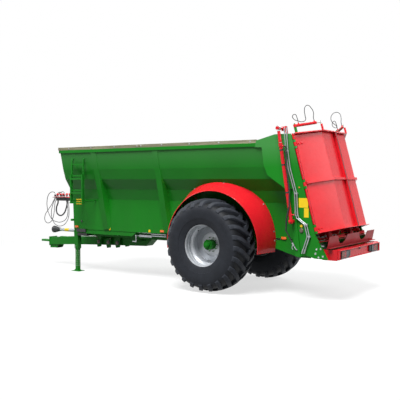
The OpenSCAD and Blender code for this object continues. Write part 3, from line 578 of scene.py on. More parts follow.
def bolt(across: float = 0.024) -> bpy.types.Object:
    """A hexagon bolt head on its washer, standing on the origin.

    Args:
        across: Width over its corners.

    Returns:
        The head with its washer.
    """
    height, washer_radius, washer = across * 0.42, across * 0.86, 0.003
    head = placed(disc(across / 2, height, 6, across * 0.08), Matrix.Translation((0, 0, washer)))
    return joined([head, disc(washer_radius, washer, 20, 0.0008)])


# ----------------------------------------------------------------------------- finishes
class Nodes:
    """A node tree, filled in by short calls."""

    def __init__(self, tree: bpy.types.NodeTree) -> None:
        """Takes up a tree.

        Args:
            tree: The tree of a material or a world.
        """
        self.tree = tree

    def add(self, kind: str, *links: object, **values: object) -> bpy.types.Node:
        """Adds a node.

        Args:
            kind: Its Blender type after "ShaderNode".
            links: Its first inputs, in order.
            values: Settings, or inputs by their name with spaces as underscores.

        Returns:
            The node.
        """
        node = self.tree.nodes.new(f"ShaderNode{kind}")
        for key, value in values.items():
            if hasattr(node, key):
                setattr(node, key, value)
            else:
                self.feed(node, key.replace("_", " "), value)
        for index, value in enumerate(links):
            self.feed(node, index, value)
        return node

    def feed(self, node: bpy.types.Node, name: str | int, value: object) -> None:
        """Links or sets one input of a node.

        Args:
            node: The node.
            name: The input's name or number.
            value: A socket to link, or a number, vector or colour.
        """
        socket = node.inputs[name]
        if isinstance(value, bpy.types.NodeSocket):
            self.tree.links.new(value, socket)
        elif isinstance(value, tuple) and len(value) == 3 and socket.type == "RGBA":
            socket.default_value = (*value, 1.0)
        else:
            socket.default_value = value

    def times(self, one: object, other: object, how: str = "MULTIPLY") -> bpy.types.NodeSocket:
        """Two values joined by arithmetic."""
        return self.add("Math", one, other, operation=how).outputs[0]


class Tree(Nodes):
    """The nodes of one finish, with its shader and its Object coordinates."""

    def __init__(self, name: str) -> None:
        """Starts the finish's material.

        Args:
            name: The finish's name.
        """
        self.material = bpy.data.materials.new(f"{name}_finish")
        self.material.use_nodes = True
        super().__init__(self.material.node_tree)
        self.shader = self.tree.nodes["Principled BSDF"]
        self.place = self.add("TexCoord").outputs["Object"]

    def set(self, **values: object) -> None:
        """Links or sets inputs of the shader."""
        for key, value in values.items():
            self.feed(self.shader, key.replace("_", " "), value)

    def noise(self, scale: float, detail: float = 3.0, squeeze: Colour = (1, 1, 1)) -> bpy.types.NodeSocket:
        """Cloudy noise, stretched where squeeze is under 1."""
        mapping = self.add("Mapping", Vector=self.place, Scale=squeeze)
        return self.add("TexNoise", Vector=mapping.outputs[0], Scale=scale, Detail=detail).outputs["Fac"]

    def span(self, value: bpy.types.NodeSocket, start: float, end: float, low: float = 0.0,
             high: float = 1.0) -> bpy.types.NodeSocket:
        """Maps start..end of a value to low..high and holds it there."""
        return self.add("MapRange", Value=value, From_Min=start, From_Max=end, To_Min=low,
                        To_Max=high).outputs[0]

    def blend(self, share: object, one: object, other: object) -> bpy.types.NodeSocket:
        """Two colours mixed by a share."""
        return self.add("MixRGB", Fac=share, Color1=one, Color2=other).outputs[0]

    def axis(self, letter: str) -> bpy.types.NodeSocket:
        """One coordinate of the place, X, Y or Z."""
        return self.add("SeparateXYZ", Vector=self.place).outputs[letter]

    def bump(self, height: bpy.types.NodeSocket, depth: float, strength: float = 1.0) -> None:
        """Raises the surface by a height of that depth in metres."""
        self.set(Normal=self.add("Bump", Strength=strength, Distance=depth, Height=height).outputs[0])


def toned(colour: Colour, share: float) -> Colour:
    """A colour made darker, or lighter where share is over 1."""
    return tuple(min(1.0, part * share) for part in colour)


@dataclass(frozen=True)
class Paint:
    """Sprayed top coat on steel sheet, with faint clouding, peel, road dust low down and a painted sheen of
    lighter green at the top.
    """

    name: str
    colour: Colour
    roughness: float = 0.36
    coat: float = 0.10
    coat_roughness: float = 0.12
    dust: float = 0.10
    specular: float = 0.10
    peel: float = 0.35
    # Share of painted sheen at the body's top edge, a lighter green that stands in for sky reflected there
    bleach: float = 0.0
    DUST, BLEACHED = (0.085, 0.085, 0.06), (0.085, 0.30, 0.09)
    # Heights between which dust settles, and between which the painted sheen grows
    DUSTY, SUNNY = (1.7, 0.5), (2.40, 2.80)

    def make(self) -> bpy.types.Material:
        """Builds the material.

        Returns:
            The finish's material.
        """
        tree = Tree(self.name)
        cloud = tree.span(tree.noise(1.6, 4), 0.3, 0.7)
        skin = tree.blend(cloud, toned(self.colour, 0.93), toned(self.colour, 1.06))
        streak = tree.span(tree.noise(5.0, 5, (1, 1, 0.25)), 0.45, 0.75)
        low = tree.span(tree.axis("Z"), *self.DUSTY)
        grime = tree.times(tree.times(streak, low), self.dust)
        skin = tree.blend(grime, skin, self.DUST)
        if self.bleach:
            # Painted highlight: the green lightens towards the top edge as a painted sky reflection
            high = tree.times(tree.span(tree.axis("Z"), *self.SUNNY), self.bleach)
            skin = tree.blend(high, skin, self.BLEACHED)
        tree.set(Base_Color=skin, Specular_IOR_Level=self.specular)
        tree.set(Coat_Weight=self.coat, Coat_Roughness=self.coat_roughness, Coat_IOR=1.5)
        smooth, rough = self.roughness - 0.05, self.roughness + 0.07
        tree.set(Roughness=tree.span(tree.noise(9.0, 3), 0.3, 0.7, smooth, rough))
        tree.bump(tree.noise(160.0, 2), 0.0004, self.peel)
        return tree.material


@dataclass(frozen=True)
class RimPaint:
    """Silver lacquer over pressed steel."""

    name: str
    colour: Colour

    def make(self) -> bpy.types.Material:
        """Builds the material.

        Returns:
            The finish's material.
        """
        tree = Tree(self.name)
        cloud = tree.span(tree.noise(7.0, 4), 0.3, 0.7)
        skin = tree.blend(cloud, toned(self.colour, 0.9), toned(self.colour, 1.06))
        speck = tree.span(tree.noise(900.0, 1), 0.35, 0.65)
        tree.set(Base_Color=tree.blend(tree.times(speck, 0.18), skin, (0.75, 0.77, 0.8)))
        tree.set(Metallic=0.35, Coat_Weight=0.25, Coat_Roughness=0.15)
        tree.set(Roughness=tree.span(cloud, 0, 1, 0.34, 0.46))
        tree.bump(tree.noise(220.0, 2), 0.0003, 0.3)
        return tree.material


@dataclass(frozen=True)
class TyreRubber:
    """Black rubber with a bloom of dust in its grain, and painted shade between the lugs."""

    name: str
    colour: Colour
    bloom: Colour
    # Radii from the axle between which the rubber darkens as painted shade in the lugs' gaps, and by how much
    groove: tuple[float, float] = (0.745, 0.805)
    groove_share: float = 0.0

    def make(self) -> bpy.types.Material:
        """Builds the material.

        Returns:
            The finish's material.
        """
        tree = Tree(self.name)
        cloud = tree.span(tree.noise(5.5, 5), 0.35, 0.75)
        grain = tree.span(tree.noise(70.0, 3), 0.35, 0.7)
        share = tree.times(tree.times(cloud, grain, "ADD"), 0.34)
        skin = tree.blend(share, self.colour, self.bloom)
        if self.groove_share:
            # Painted shade: the rubber darkens at the crown between the lugs, where their gaps lie in shade
            depth = tree.span(self.axle_distance(tree), *self.groove)
            skin = tree.blend(tree.times(depth, self.groove_share), skin, toned(self.colour, 0.3))
        tree.set(Base_Color=skin)
        tree.set(Roughness=tree.span(grain, 0, 1, 0.52, 0.70), Specular_IOR_Level=0.20)
        tree.bump(tree.noise(320.0, 3), 0.0008, 0.5)
        return tree.material

    @staticmethod
    def axle_distance(tree: Tree) -> bpy.types.NodeSocket:
        """Distance of a place from the wheels' axis.

        Args:
            tree: The finish's nodes.

        Returns:
            The distance in metres.
        """
        ahead = tree.times(tree.axis("X"), AXLE_X, "SUBTRACT")
        above = tree.times(tree.axis("Z"), AXLE_Z, "SUBTRACT")
        squares = tree.times(tree.times(ahead, ahead), tree.times(above, above), "ADD")
        return tree.times(squares, 0.5, "POWER")


@dataclass(frozen=True)
class HoseRubber:
    """Smooth extruded rubber of a hydraulic hose with its faint wrap."""

    name: str
    colour: Colour

    def make(self) -> bpy.types.Material:
        """Builds the material.

        Returns:
            The finish's material.
        """
        tree = Tree(self.name)
        dull = tree.span(tree.noise(24.0, 3), 0.35, 0.7)
        tree.set(Base_Color=tree.blend(dull, self.colour, toned(self.colour, 1.9)))
        tree.set(Roughness=tree.span(dull, 0, 1, 0.34, 0.5))
        wrap = tree.add("TexWave", Vector=tree.place, Scale=90.0, Distortion=0.6)
        tree.bump(wrap.outputs["Fac"], 0.0004, 0.35)
        return tree.material


@dataclass(frozen=True)
class Steel:
    """Plated or bare steel, brushed along one axis."""

    name: str
    colour: Colour
    roughness: float
    metallic: float = 0.9
    squeeze: Colour = (1.0, 1.0, 0.1)

    def make(self) -> bpy.types.Material:
        """Builds the material.

        Returns:
            The finish's material.
        """
        tree = Tree(self.name)
        brush = tree.noise(240.0, 3, self.squeeze)
        cloud = tree.span(tree.noise(12.0, 4), 0.35, 0.7)
        tree.set(Base_Color=tree.blend(cloud, toned(self.colour, 0.78), self.colour))
        tree.set(Metallic=self.metallic)
        tree.set(Roughness=tree.span(brush, 0.3, 0.7, self.roughness, self.roughness + 0.14))
        tree.bump(brush, 0.0002, 0.25)
        return tree.material


@dataclass(frozen=True)
class Timber:
    """Weathered softwood with grain, knots and drying cracks along each board."""

    name: str
    pale: Colour
    dark: Colour
    # X past which the boards lie across the machine
    cross_x: float

    def make(self) -> bpy.types.Material:
        """Builds the material.

        Returns:
            The finish's material.
        """
        tree = Tree(self.name)
        along = tree.noise(30.0, 5, (0.05, 1.0, 1.0))
        across = tree.noise(30.0, 5, (1.0, 0.05, 1.0))
        ahead = tree.times(tree.axis("X"), self.cross_x, "GREATER_THAN")
        grain = tree.span(tree.blend(ahead, along, across), 0.32, 0.68)
        crack = tree.span(tree.noise(75.0, 4, (0.04, 1.0, 1.0)), 0.60, 0.72)
        knot = tree.span(tree.noise(5.0, 2, (0.8, 2.5, 2.5)), 0.66, 0.74)
        weather = tree.span(tree.noise(1.3, 4), 0.35, 0.7)
        wood = tree.blend(grain, self.dark, self.pale)
        wood = tree.blend(tree.times(weather, 0.55), wood, toned(self.dark, 0.9))
        wood = tree.blend(tree.times(crack, 0.8), wood, toned(self.dark, 0.3))
        wood = tree.blend(tree.times(knot, 0.6), wood, toned(self.dark, 0.5))
        tree.set(Base_Color=wood, Roughness=tree.span(grain, 0, 1, 0.9, 0.72))
        tree.bump(tree.times(grain, crack, "SUBTRACT"), 0.003, 0.6)
        return tree.material


@dataclass(frozen=True)
class Plastic:
    """Moulded plastic with a fine grain."""

    name: str
    colour: Colour
    roughness: float = 0.42

    def make(self) -> bpy.types.Material:
        """Builds the material.

        Returns:
            The finish's material.
        """
        tree = Tree(self.name)
        haze = tree.span(tree.noise(14.0, 3), 0.35, 0.7)
        tree.set(Base_Color=tree.blend(haze, toned(self.colour, 0.9), toned(self.colour, 1.12)))
        tree.set(Roughness=tree.span(haze, 0, 1, self.roughness - 0.06, self.roughness + 0.08))
        tree.bump(tree.noise(380.0, 2), 0.0003, 0.3)
        return tree.material


@dataclass(frozen=True)
class Lens:
    """Coloured clear plastic over a grid of prisms, with a painted glow of its own colour."""

    name: str
    colour: Colour
    # Strength of the painted glow, which shines though no lamp behind the lens is lit
    glow: float = 0.12

    def make(self) -> bpy.types.Material:
        """Builds the material.

        Returns:
            The finish's material.
        """
        tree = Tree(self.name)
        prism = tree.add("TexVoronoi", Vector=tree.place, Scale=110.0)
        facet = tree.span(prism.outputs["Distance"], 0.1, 0.8)
        skin = tree.blend(facet, toned(self.colour, 1.08), toned(self.colour, 0.72))
        tree.set(Base_Color=skin, Roughness=0.16, Coat_Weight=0.6, Coat_Roughness=0.05)
        # Painted glow: the lens gives off its own colour as light
        tree.set(Emission_Color=skin, Emission_Strength=self.glow)
        tree.bump(facet, 0.0012, 0.4)
        return tree.material


@dataclass(frozen=True)
class Film:
    """A bare sticker of printed film, matt and slightly uneven."""

    name: str
    colour: Colour

    def make(self) -> bpy.types.Material:
        """Builds the material.

        Returns:
            The finish's material.
        """
        tree = Tree(self.name)
        haze = tree.span(tree.noise(11.0, 3), 0.35, 0.7)
        tree.set(Base_Color=tree.blend(haze, toned(self.colour, 0.93), self.colour))
        tree.set(Roughness=tree.span(tree.noise(60.0, 2), 0.3, 0.7, 0.38, 0.5))
        tree.bump(tree.noise(120.0, 2), 0.0003, 0.25)
        return tree.material


class Finish(Enum):
    """Every finish on the machine, valued by its recipe and named as its material slot, if any."""

    # The body's green carries a painted sky sheen at its top edge
    BODY_GREEN = Paint("body_green", (0.009, 0.200, 0.012), 0.34, 0.08, 0.2, bleach=0.55)
    FRAME_GREEN = Paint("frame_green", (0.011, 0.185, 0.014), 0.40, 0.04, 0.2, 0.14)
    DARK_GREEN = Paint("dark_green", (0.009, 0.075, 0.016), 0.5, 0.04, 0.3, 0.2)
    GLOSS_RED = Paint("gloss_red", (0.64, 0.012, 0.020), 0.27, 0.20, 0.12, 0.0, 0.14, 0.02)
    # A darker red as painted shadow, for the beater pan in the shade under the doors
    SHADED_RED = Paint("shaded_red", (0.30, 0.009, 0.016), 0.36, 0.10, 0.15, 0.25, 0.10, 0.12)
    RIM_SILVER = RimPaint("rim_silver", (0.44, 0.46, 0.49))
    # The carcass darkens between the lugs as painted shade
    TYRE_RUBBER = TyreRubber("tyre_rubber", (0.009, 0.0105, 0.0140), (0.030, 0.034, 0.044),
                             groove_share=0.85)
    TREAD_RUBBER = TyreRubber("tread_rubber", (0.022, 0.025, 0.032), (0.052, 0.058, 0.072))
    HOSE_RUBBER = HoseRubber("hose_rubber", (0.006, 0.0065, 0.008))
    BARE_STEEL = Steel("bare_steel", (0.50, 0.51, 0.52), 0.36)
    ROD_CHROME = Steel("rod_chrome", (0.80, 0.81, 0.82), 0.10, 1.0)
    PIPE_GREY = Steel("pipe_grey", (0.42, 0.44, 0.46), 0.34, 0.75)
    OILY_STEEL = Steel("oily_steel", (0.14, 0.12, 0.09), 0.45, 0.6)
    TIMBER = Timber("timber", (0.36, 0.34, 0.22), (0.15, 0.14, 0.085), 2.45)
    BLACK_PLASTIC = Plastic("black_plastic", (0.016, 0.017, 0.019))
    GREY_PLASTIC = Plastic("grey_plastic", (0.50, 0.53, 0.55), 0.38)
    ORANGE_LENS = Lens("orange_lens", (0.90, 0.15, 0.004))
    AMBER_LENS = Lens("amber_lens", (0.42, 0.075, 0.004))
    SMOKED_LENS = Lens("smoked_lens", (0.10, 0.11, 0.115))
    RED_LENS = Lens("red_lens", (0.72, 0.012, 0.014), 0.2)
    YELLOW_FILM = Film("yellow_film", (0.90, 0.62, 0.008))
    RED_PLASTIC = Plastic("red_plastic", (0.60, 0.018, 0.022), 0.34)

    def material(self) -> bpy.types.Material:
        """The finish's material, made at its first use."""
        return bpy.data.materials.get(f"{self.value.name}_finish") or self.value.make()


def dress(obj: bpy.types.Object, name: str, finish: Finish, body: str = CHASSIS) -> bpy.types.Object:
    """Names a finished piece, gives it its finish and lets it ride on a body.

    Args:
        obj: The piece, in place.
        name: Its name.
        finish: Its finish, which is also its material slot where the record has one of that name.
        body: The body that carries it.

    Returns:
        The piece.
    """
    obj.name = obj.data.name = name
    coated(obj, finish)
    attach(obj, body)
    LOG.info("%s rides on %s", name, body)
    return obj


def coated(obj: bpy.types.Object, finish: Finish) -> None:
    """Gives an object one finish in place of what it had."""
    obj.data.materials.clear()
    obj.data.materials.append(finish.material())


# ------------------------------------------------------------------------------- studio
@dataclass
class Studio:
    """The pale floor, the soft lights and the camera."""

    camera_place: Vector
    camera_yaw: float = 35.0
    camera_pitch: float = -1.67
    lens: float = 58.5
    sensor: float = 36.0
    floor_size: float = 90.0
    sky_strength: float = 0.20
    # Distances from the middle where the floor starts and ends fading into its surround, and its
    # glow at each
    floor_glow: tuple[float, float, float, float] = (3.5, 10.0, 0.66, 1.0)
    WHITE, PALE, DULL, SKY = (1.0,) * 3, (0.86,) * 3, (0.12,) * 3, (0.93, 0.96, 1.0)
    # Where the lights face
    TARGET = Vector((0.0, 0.0, 1.4))
    # Name, place counted from the axle, size and watts of each light
    LIGHTS = (("key_light", (-2.5, 12.0, 20.5), 11.0, 8300.0),
              ("rear_light", (-14.0, -6.5, 10.5), 10.0, 2000.0),
              ("front_light", (14.0, 3.0, 13.0), 9.0, 900.0),
              ("far_light", (2.0, -15.0, 12.0), 9.0, 1500.0))

    def build(self) -> None:
        """Makes the camera, the floor, the lights and the world."""
        self.camera()
        self.floor()
        for name, place, size, watts in self.LIGHTS:
            self.light(name, from_axle(*place), size, watts)
        self.world()

    def camera(self) -> None:
        """Sets the camera at its place, looking along its yaw and pitch."""
        data = bpy.data.cameras.new("camera")
        data.lens, data.sensor_width = self.lens, self.sensor
        obj = bpy.data.objects.new("camera", data)
        bpy.context.collection.objects.link(obj)
        yaw, pitch = math.radians(self.camera_yaw), math.radians(self.camera_pitch)
        ahead = Vector((math.sin(yaw) * math.cos(pitch), -math.cos(yaw) * math.cos(pitch), math.sin(pitch)))
        obj.location = self.camera_place
        obj.rotation_euler = ahead.to_track_quat("-Z", "Y").to_euler()
        bpy.context.scene.camera = obj

    def light(self, name: str, place: Vector, size: float, watts: float) -> None:
        """Hangs a square soft light that faces the middle of the machine.

        Args:
            name: Its name.
            place: Where it hangs.
            size: Length of its sides.
            watts: Its power.
        """
        data = bpy.data.lights.new(name, "AREA")
        data.size, data.energy = size, watts
        obj = bpy.data.objects.new(name, data)
        bpy.context.collection.objects.link(obj)
        obj.location = place
        obj.rotation_euler = (self.TARGET - place).to_track_quat("-Z", "Y").to_euler()

    def seen(self, nodes: Nodes) -> bpy.types.NodeSocket:
        """1 for rays that show the pale surroundings, which are camera, glossy and clear ones.

        Args:
            nodes: The tree that asks.

        Returns:
            The share as a socket.
        """
        path = nodes.add("LightPath")
        share = path.outputs["Is Camera Ray"]
        for name in ("Is Glossy Ray", "Is Transmission Ray"):
            share = nodes.times(share, path.outputs[name], "MAXIMUM")
        return share

    def floor(self) -> None:
        """Lays a pale floor, which throws little light back up on the machine."""
        deselect()
        bpy.ops.mesh.primitive_plane_add(size=self.floor_size)
        obj = bpy.context.object
        obj.name = "floor"
        material = bpy.data.materials.new("floor")
        material.use_nodes = True
        nodes = Nodes(material.node_tree)
        nodes.tree.nodes.remove(nodes.tree.nodes["Principled BSDF"])
        pale = nodes.add("BsdfDiffuse", Color=self.PALE)
        glow = nodes.add("Emission", Color=self.WHITE)
        reach = nodes.add("VectorMath", nodes.add("TexCoord").outputs["Object"], operation="LENGTH")
        fade = nodes.add("MapRange", reach.outputs["Value"], *self.floor_glow,
                         interpolation_type="SMOOTHSTEP")
        lit = nodes.add("MixShader", fade.outputs["Result"], pale.outputs[0], glow.outputs[0])
        dull = nodes.add("BsdfDiffuse", Color=self.DULL)
        mix = nodes.add("MixShader", self.seen(nodes), dull.outputs[0], lit.outputs[0])
        nodes.feed(nodes.tree.nodes["Material Output"], "Surface", mix.outputs[0])
        obj.data.materials.append(material)

    def world(self) -> None:
        """Fills the room with even light in front of a white surround."""
        world = bpy.data.worlds.new("room")
        bpy.context.scene.world = world
        world.use_nodes = True
        nodes = Nodes(world.node_tree)
        even = nodes.tree.nodes["Background"]
        nodes.feed(even, "Color", self.SKY)
        nodes.feed(even, "Strength", self.sky_strength)
        white = nodes.add("Background", Color=self.WHITE)
        mix = nodes.add("MixShader", self.seen(nodes), even.outputs[0], white.outputs[0])
        nodes.feed(nodes.tree.nodes["World Output"], "Surface", mix.outputs[0])


# ---------------------------------------------------------------------------- CAD nodes
class CadDressing:
    """Gives each node of the frame the finish of its material slot, or one of its own."""

    # The beater pan takes the shaded red, a painted shadow from the doors above it
    BY_NODE = {"hose_holder": Finish.BLACK_PLASTIC, "beater_pan": Finish.SHADED_RED}

    def build(self) -> None:
        """Sets the material of every node."""
        for name, obj in frame["nodes"].items():
            finish = self.BY_NODE.get(name) or Finish[SLOT_OF[name].upper()]
            coated(obj, finish)
            LOG.info("%s is finished in %s", name, finish.value.name)


# -------------------------------------------------------------------------------- hoses
@dataclass
class HoseRun:
    """One hose: its name, the node that it stands for, its body, its thickness and its route."""

    name: str
    node: str
    body: str
    thick: float
    line: Sequence[Place]

    def build(self) -> bpy.types.Object:
        """Makes the hose and hides the node that it stands for.

        Returns:
            The hose.
        """
        points = route(*self.line)
        obj = spline_through(points, self.thick / 2)
        obj.data.splines[0].resolution_u = 10
        obj.data.bevel_resolution = 3
        obj.name = obj.data.name = self.name
        obj.data.materials.append(Finish.HOSE_RUBBER.material())
        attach(obj, self.body)
        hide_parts(self.node)
        return obj


class HangingHoses:
    """The loops that hang from the hose holder and stand over the door cylinders."""

    # Thicknesses of a pressure line, of the wrapped bundle and of a door's line
    LINE, BUNDLE, DOOR_LINE = 0.016, 0.036, 0.013
    LOOP_A = ((5.46, 0.11, 1.8), (5.46, 0.11, 1.838), (5.51, 0.112, 1.868), (5.61, 0.114, 1.862),
              (5.7, 0.116, 1.79), (5.75, 0.118, 1.65), (5.745, 0.118, 1.47), (5.68, 0.116, 1.3),
              (5.56, 0.113, 1.165), (5.4, 0.11, 1.11), (5.22, 0.108, 1.118), (5.07, 0.103, 1.2),
              (5.01, 0.098, 1.36), (5.03, 0.096, 1.54), (5.075, 0.092, 1.66), (5.11, 0.072, 1.694),
              (5.11, 0.04, 1.694))
    LOOP_B = ((5.46, -0.11, 1.8), (5.46, -0.11, 1.838), (5.52, -0.11, 1.862), (5.615, -0.104, 1.815),
              (5.7, -0.09, 1.69), (5.8, -0.074, 1.53), (5.92, -0.062, 1.39), (6.022, -0.058, 1.26),
              (6.036, -0.058, 1.13), (5.958, -0.056, 1.06), (5.826, -0.046, 1.075),
              (5.702, -0.022, 1.17), (5.622, 0.0, 1.33), (5.6, 0.0, 1.5), (5.575, -0.01, 1.63),
              (5.52, -0.015, 1.688), (5.45, -0.015, 1.692))
    LOOP_C = ((5.36, -0.11, 1.8), (5.36, -0.11, 1.838), (5.41, -0.136, 1.868), (5.52, -0.15, 1.862),
              (5.64, -0.15, 1.79), (5.75, -0.145, 1.66), (5.84, -0.138, 1.48), (5.866, -0.13, 1.29),
              (5.8, -0.122, 1.11), (5.66, -0.116, 1.004), (5.48, -0.112, 0.99), (5.32, -0.108, 1.06),
              (5.21, -0.104, 1.2), (5.175, -0.1, 1.38), (5.19, -0.096, 1.56), (5.215, -0.075, 1.692),
              (5.215, -0.04, 1.692))
    LOOP_D = ((5.47, 0.0, 1.65), (5.47, 0.0, 1.6), (5.494, 0.03, 1.48), (5.47, 0.05, 1.36),
              (5.39, 0.06, 1.288), (5.28, 0.06, 1.278), (5.19, 0.052, 1.34), (5.144, 0.034, 1.45),
              (5.14, 0.0, 1.57), (5.14, 0.0, 1.65))
    # Door cylinder along the hinge axis, and the places where its hoses leave it
    RAM_BASE, RAM_TIP, RAM_LIFT = (-0.01, -0.15), (-0.345, -0.56), 0.15
    NEAR_PORT, FAR_PORT, PORT_UP, HOSE_RISE = 0.08, 0.4, 0.045, 0.055
    LEFT_ABOVE = ((-1.968, 0.65, 3.4), (-1.94, 0.695, 3.485), (-1.902, 0.752, 3.528), (-1.872, 0.795, 3.5),
                  (-1.862, 0.806, 3.42), (-1.868, 0.786, 3.33), (-1.862, 0.76, 3.262), (-1.82, 0.79, 3.232),
                  (-1.765, 0.865, 3.242), (-1.712, 0.94, 3.275), (-1.705, 0.965, 3.33),
                  (-1.738, 0.94, 3.356))
    RIGHT_ABOVE = ((-1.95, 0.665, 3.41), (-1.905, 0.7, 3.495), (-1.83, 0.715, 3.53), (-1.755, 0.7, 3.5),
                   (-1.722, 0.69, 3.42), (-1.745, 0.715, 3.33), (-1.8, 0.762, 3.272), (-1.8, 0.81, 3.238),
                   (-1.75, 0.845, 3.232), (-1.69, 0.852, 3.27), (-1.68, 0.862, 3.33),
                   (-1.715, 0.876, 3.372))

    def ram_point(self, along: float, up: float) -> Vector:
        """A point on the left door's cylinder, with X counted from the axle.

        Args:
            along: Distance along it from its pin.
            up: Height over its axis.

        Returns:
            The point.
        """
        dx, dy = (tip - base for tip, base in zip(self.RAM_TIP, self.RAM_BASE))
        share = along / math.hypot(dx, dy)
        place = hinge_point(self.RAM_BASE[0] + share * dx, self.RAM_BASE[1] + share * dy,
                            DOOR_TALL + self.RAM_LIFT + up)
        return place - Vector((AXLE_X, 0, 0))

    def above_door(self, middle: Sequence[Place], last_rise: float, side: Side) -> list[Place]:
        """The route of a hose over one door's cylinder.

        Args:
            middle: Its free points, drawn for the left door.
            last_rise: Height over the near port of its last bend.
            side: The door's side.

        Returns:
            All its points, with X counted from the axle.
        """
        far, near, up = self.FAR_PORT, self.NEAR_PORT, self.PORT_UP
        first = [self.ram_point(far, up), self.ram_point(far, up + self.HOSE_RISE)]
        last = [self.ram_point(near, up + last_rise), self.ram_point(near, up)]
        return [(p[0], side.value * p[1], p[2]) for p in [*first, *middle, *last]]

    def runs(self) -> list[HoseRun]:
        """Every free hose on the machine.

        Returns:
            The hoses, from the holder back to the doors.
        """
        left = self.above_door(self.LEFT_ABOVE, 0.1, Side.LEFT)
        right = self.above_door(self.RIGHT_ABOVE, 0.11, Side.RIGHT)
        return [
            HoseRun("front_hose_a", "front_hose_loop_a", CHASSIS, self.LINE, self.LOOP_A),
            HoseRun("front_hose_b", "front_hose_loop_b", CHASSIS, self.LINE, self.LOOP_B),
            HoseRun("front_hose_c", "front_hose_loop_c", CHASSIS, self.LINE, self.LOOP_C),
            HoseRun("front_hose_d", "front_hose_loop_d", CHASSIS, self.BUNDLE, self.LOOP_D),
            HoseRun("left_door_hose", "left_rear_hose", "left_ram_barrel", self.DOOR_LINE, left),
            HoseRun("right_door_hose", "right_rear_hose", "right_ram_barrel", self.DOOR_LINE, right),
        ]

    def build(self) -> None:
        """Makes every free hose."""
        for run in self.runs():
            run.build()


# ------------------------------------------------------------------------------- wheels
@dataclass
class WheelPart:
    """What the pieces of one wheel share."""

    side: Side
    middle_y: float = 1.105

    @property
    def body(self) -> str:
        """The wheel's body."""
        return f"{self.side.word}_wheel"

    def spot(self, turn: float, radius: float, out: float) -> Vector:
        """A place on the wheel.

        Args:
            turn: Radians about the axle, upwards from the front.
            radius: Distance from the axle.
            out: Distance outside the wheel's middle plane.

        Returns:
            The point in the machine's frame.
        """
        return from_axle(radius * math.cos(turn), self.side.value * (self.middle_y + out),
                         AXLE_Z + radius * math.sin(turn))


@dataclass
class Tyre(WheelPart):
    """A tractor-pattern tyre: a turned carcass with two staggered rows of curved lugs."""

    lugs: int = 24
    # Degrees that a lug's crown end runs ahead of its shoulder end
    sweep: float = 14.7
    centre_half: float = 0.048
    shoulder_half: float = 0.040
    # How much wider a lug is at its foot, and how much lower and narrower its worn edges are
    draft: float = 0.014
    worn_down: float = 0.009
    worn_in: float = 0.007
    stations: int = 11
    wall: float = 0.03
    steps: int = 96
    # Half section from the bead to the crown: distance from the wheel's middle plane, radius
    CARCASS = ((0.289, 0.405), (0.298, 0.409), (0.308, 0.424), (0.316, 0.444), (0.322, 0.462),
               (0.334, 0.498), (0.343, 0.528), (0.348, 0.529), (0.353, 0.560), (0.359, 0.610),
               (0.361, 0.655), (0.356, 0.700), (0.343, 0.742), (0.318, 0.780), (0.280, 0.809),
               (0.220, 0.835), (0.120, 0.851), (0.0, 0.854))
    # Corners of a lug's section: which edge, raised or not, and whether on its worn-in top face
    SECTION = ((-1, False, 0), (-1, True, 0), (-1, True, 1), (1, True, 1), (1, True, 0), (1, False, 0),
               (-1, False, 0))
    # The lugs' tops and feet from the crown outwards, by the same two measures
    LUG_TOP = ((-0.018, 0.9085), (0.110, 0.904), (0.198, 0.889), (0.266, 0.861), (0.318, 0.817),
               (0.347, 0.765))
    LUG_FOOT = ((-0.018, 0.846), (0.110, 0.842), (0.190, 0.826), (0.252, 0.800), (0.303, 0.766),
                (0.337, 0.712))

    @staticmethod
    def along(line: Plan, share: float) -> tuple[float, float]:
        """The point at a share of the way through a line's points.

        Args:
            line: The line's points.
            share: From 0 at its first point to 1 at its last.

        Returns:
            The two coordinates there.
        """
        spot = share * (len(line) - 1)
        index = min(int(spot), len(line) - 2)
        (a0, b0), (a1, b1) = line[index], line[index + 1]
        rest = spot - index
        return a0 + (a1 - a0) * rest, b0 + (b1 - b0) * rest

    def lug(self, hand: float) -> bpy.types.Object:
        """One lug of the left or right row, with its shoulder end at the front.

        Args:
            hand: 1 for the row on the left, -1 for the right.

        Returns:
            A closed bar that follows the tread.
        """
        turn = math.radians(self.sweep)
        rows = []
        for across, raised, on_top in self.SECTION:
            row = []
            for station in range(self.stations):
                share = station / (self.stations - 1)
                out, radius = self.along(self.LUG_TOP if raised else self.LUG_FOOT, share)
                half = self.centre_half + (self.shoulder_half - self.centre_half) * share
                width = half - self.worn_in * on_top if raised else half + self.draft
                radius -= self.worn_down * (1 - on_top) if raised else 0.0
                middle = turn * (1 - share) ** 2
                row.append(self.spot(middle + across * width / radius, radius, self.side.value * hand * out))
            rows.append(row)
        obj = draped(rows)
        with editing(obj, "VERT"):
            close_ends()
        return tidy(obj, 28)

    def build(self) -> None:
        """Makes the whole tyre in the place of its plain solid."""
        crown = [(out, radius) for out, radius in self.CARCASS]
        section = crown + [(-out, radius) for out, radius in reversed(crown[:-1])]
        carcass = chain([Vector((radius, 0, out)) for out, radius in section])
        with editing(carcass, "VERT"):
            bpy.ops.mesh.spin(steps=self.steps, angle=math.tau, center=(0, 0, 0), axis=(0, 0, 1))
        tidy(carcass, 25)
        thickened(carcass, self.wall, -1.0)
        hub = self.spot(0, 0, 0)
        placed(carcass, Matrix.Translation(hub) @ Matrix.Rotation(math.pi / 2, 4, "X"))
        step = math.tau / self.lugs
        home = Matrix.Translation(hub)
        rows = []
        for hand, start in ((1, 0.0), (-1, 0.5)):
            turns = [home @ Matrix.Rotation(-(start + i) * step, 4, "Y") @ home.inverted()
                     for i in range(self.lugs)]
            rows.append(copies(self.lug(hand), turns))
        word = self.side.word
        dress(carcass, f"{word}_tyre_carcass", Finish.TYRE_RUBBER, self.body)
        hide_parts(f"{word}_tyre")
        dress(joined(rows), f"{word}_tyre_lugs", Finish.TREAD_RUBBER, self.body)


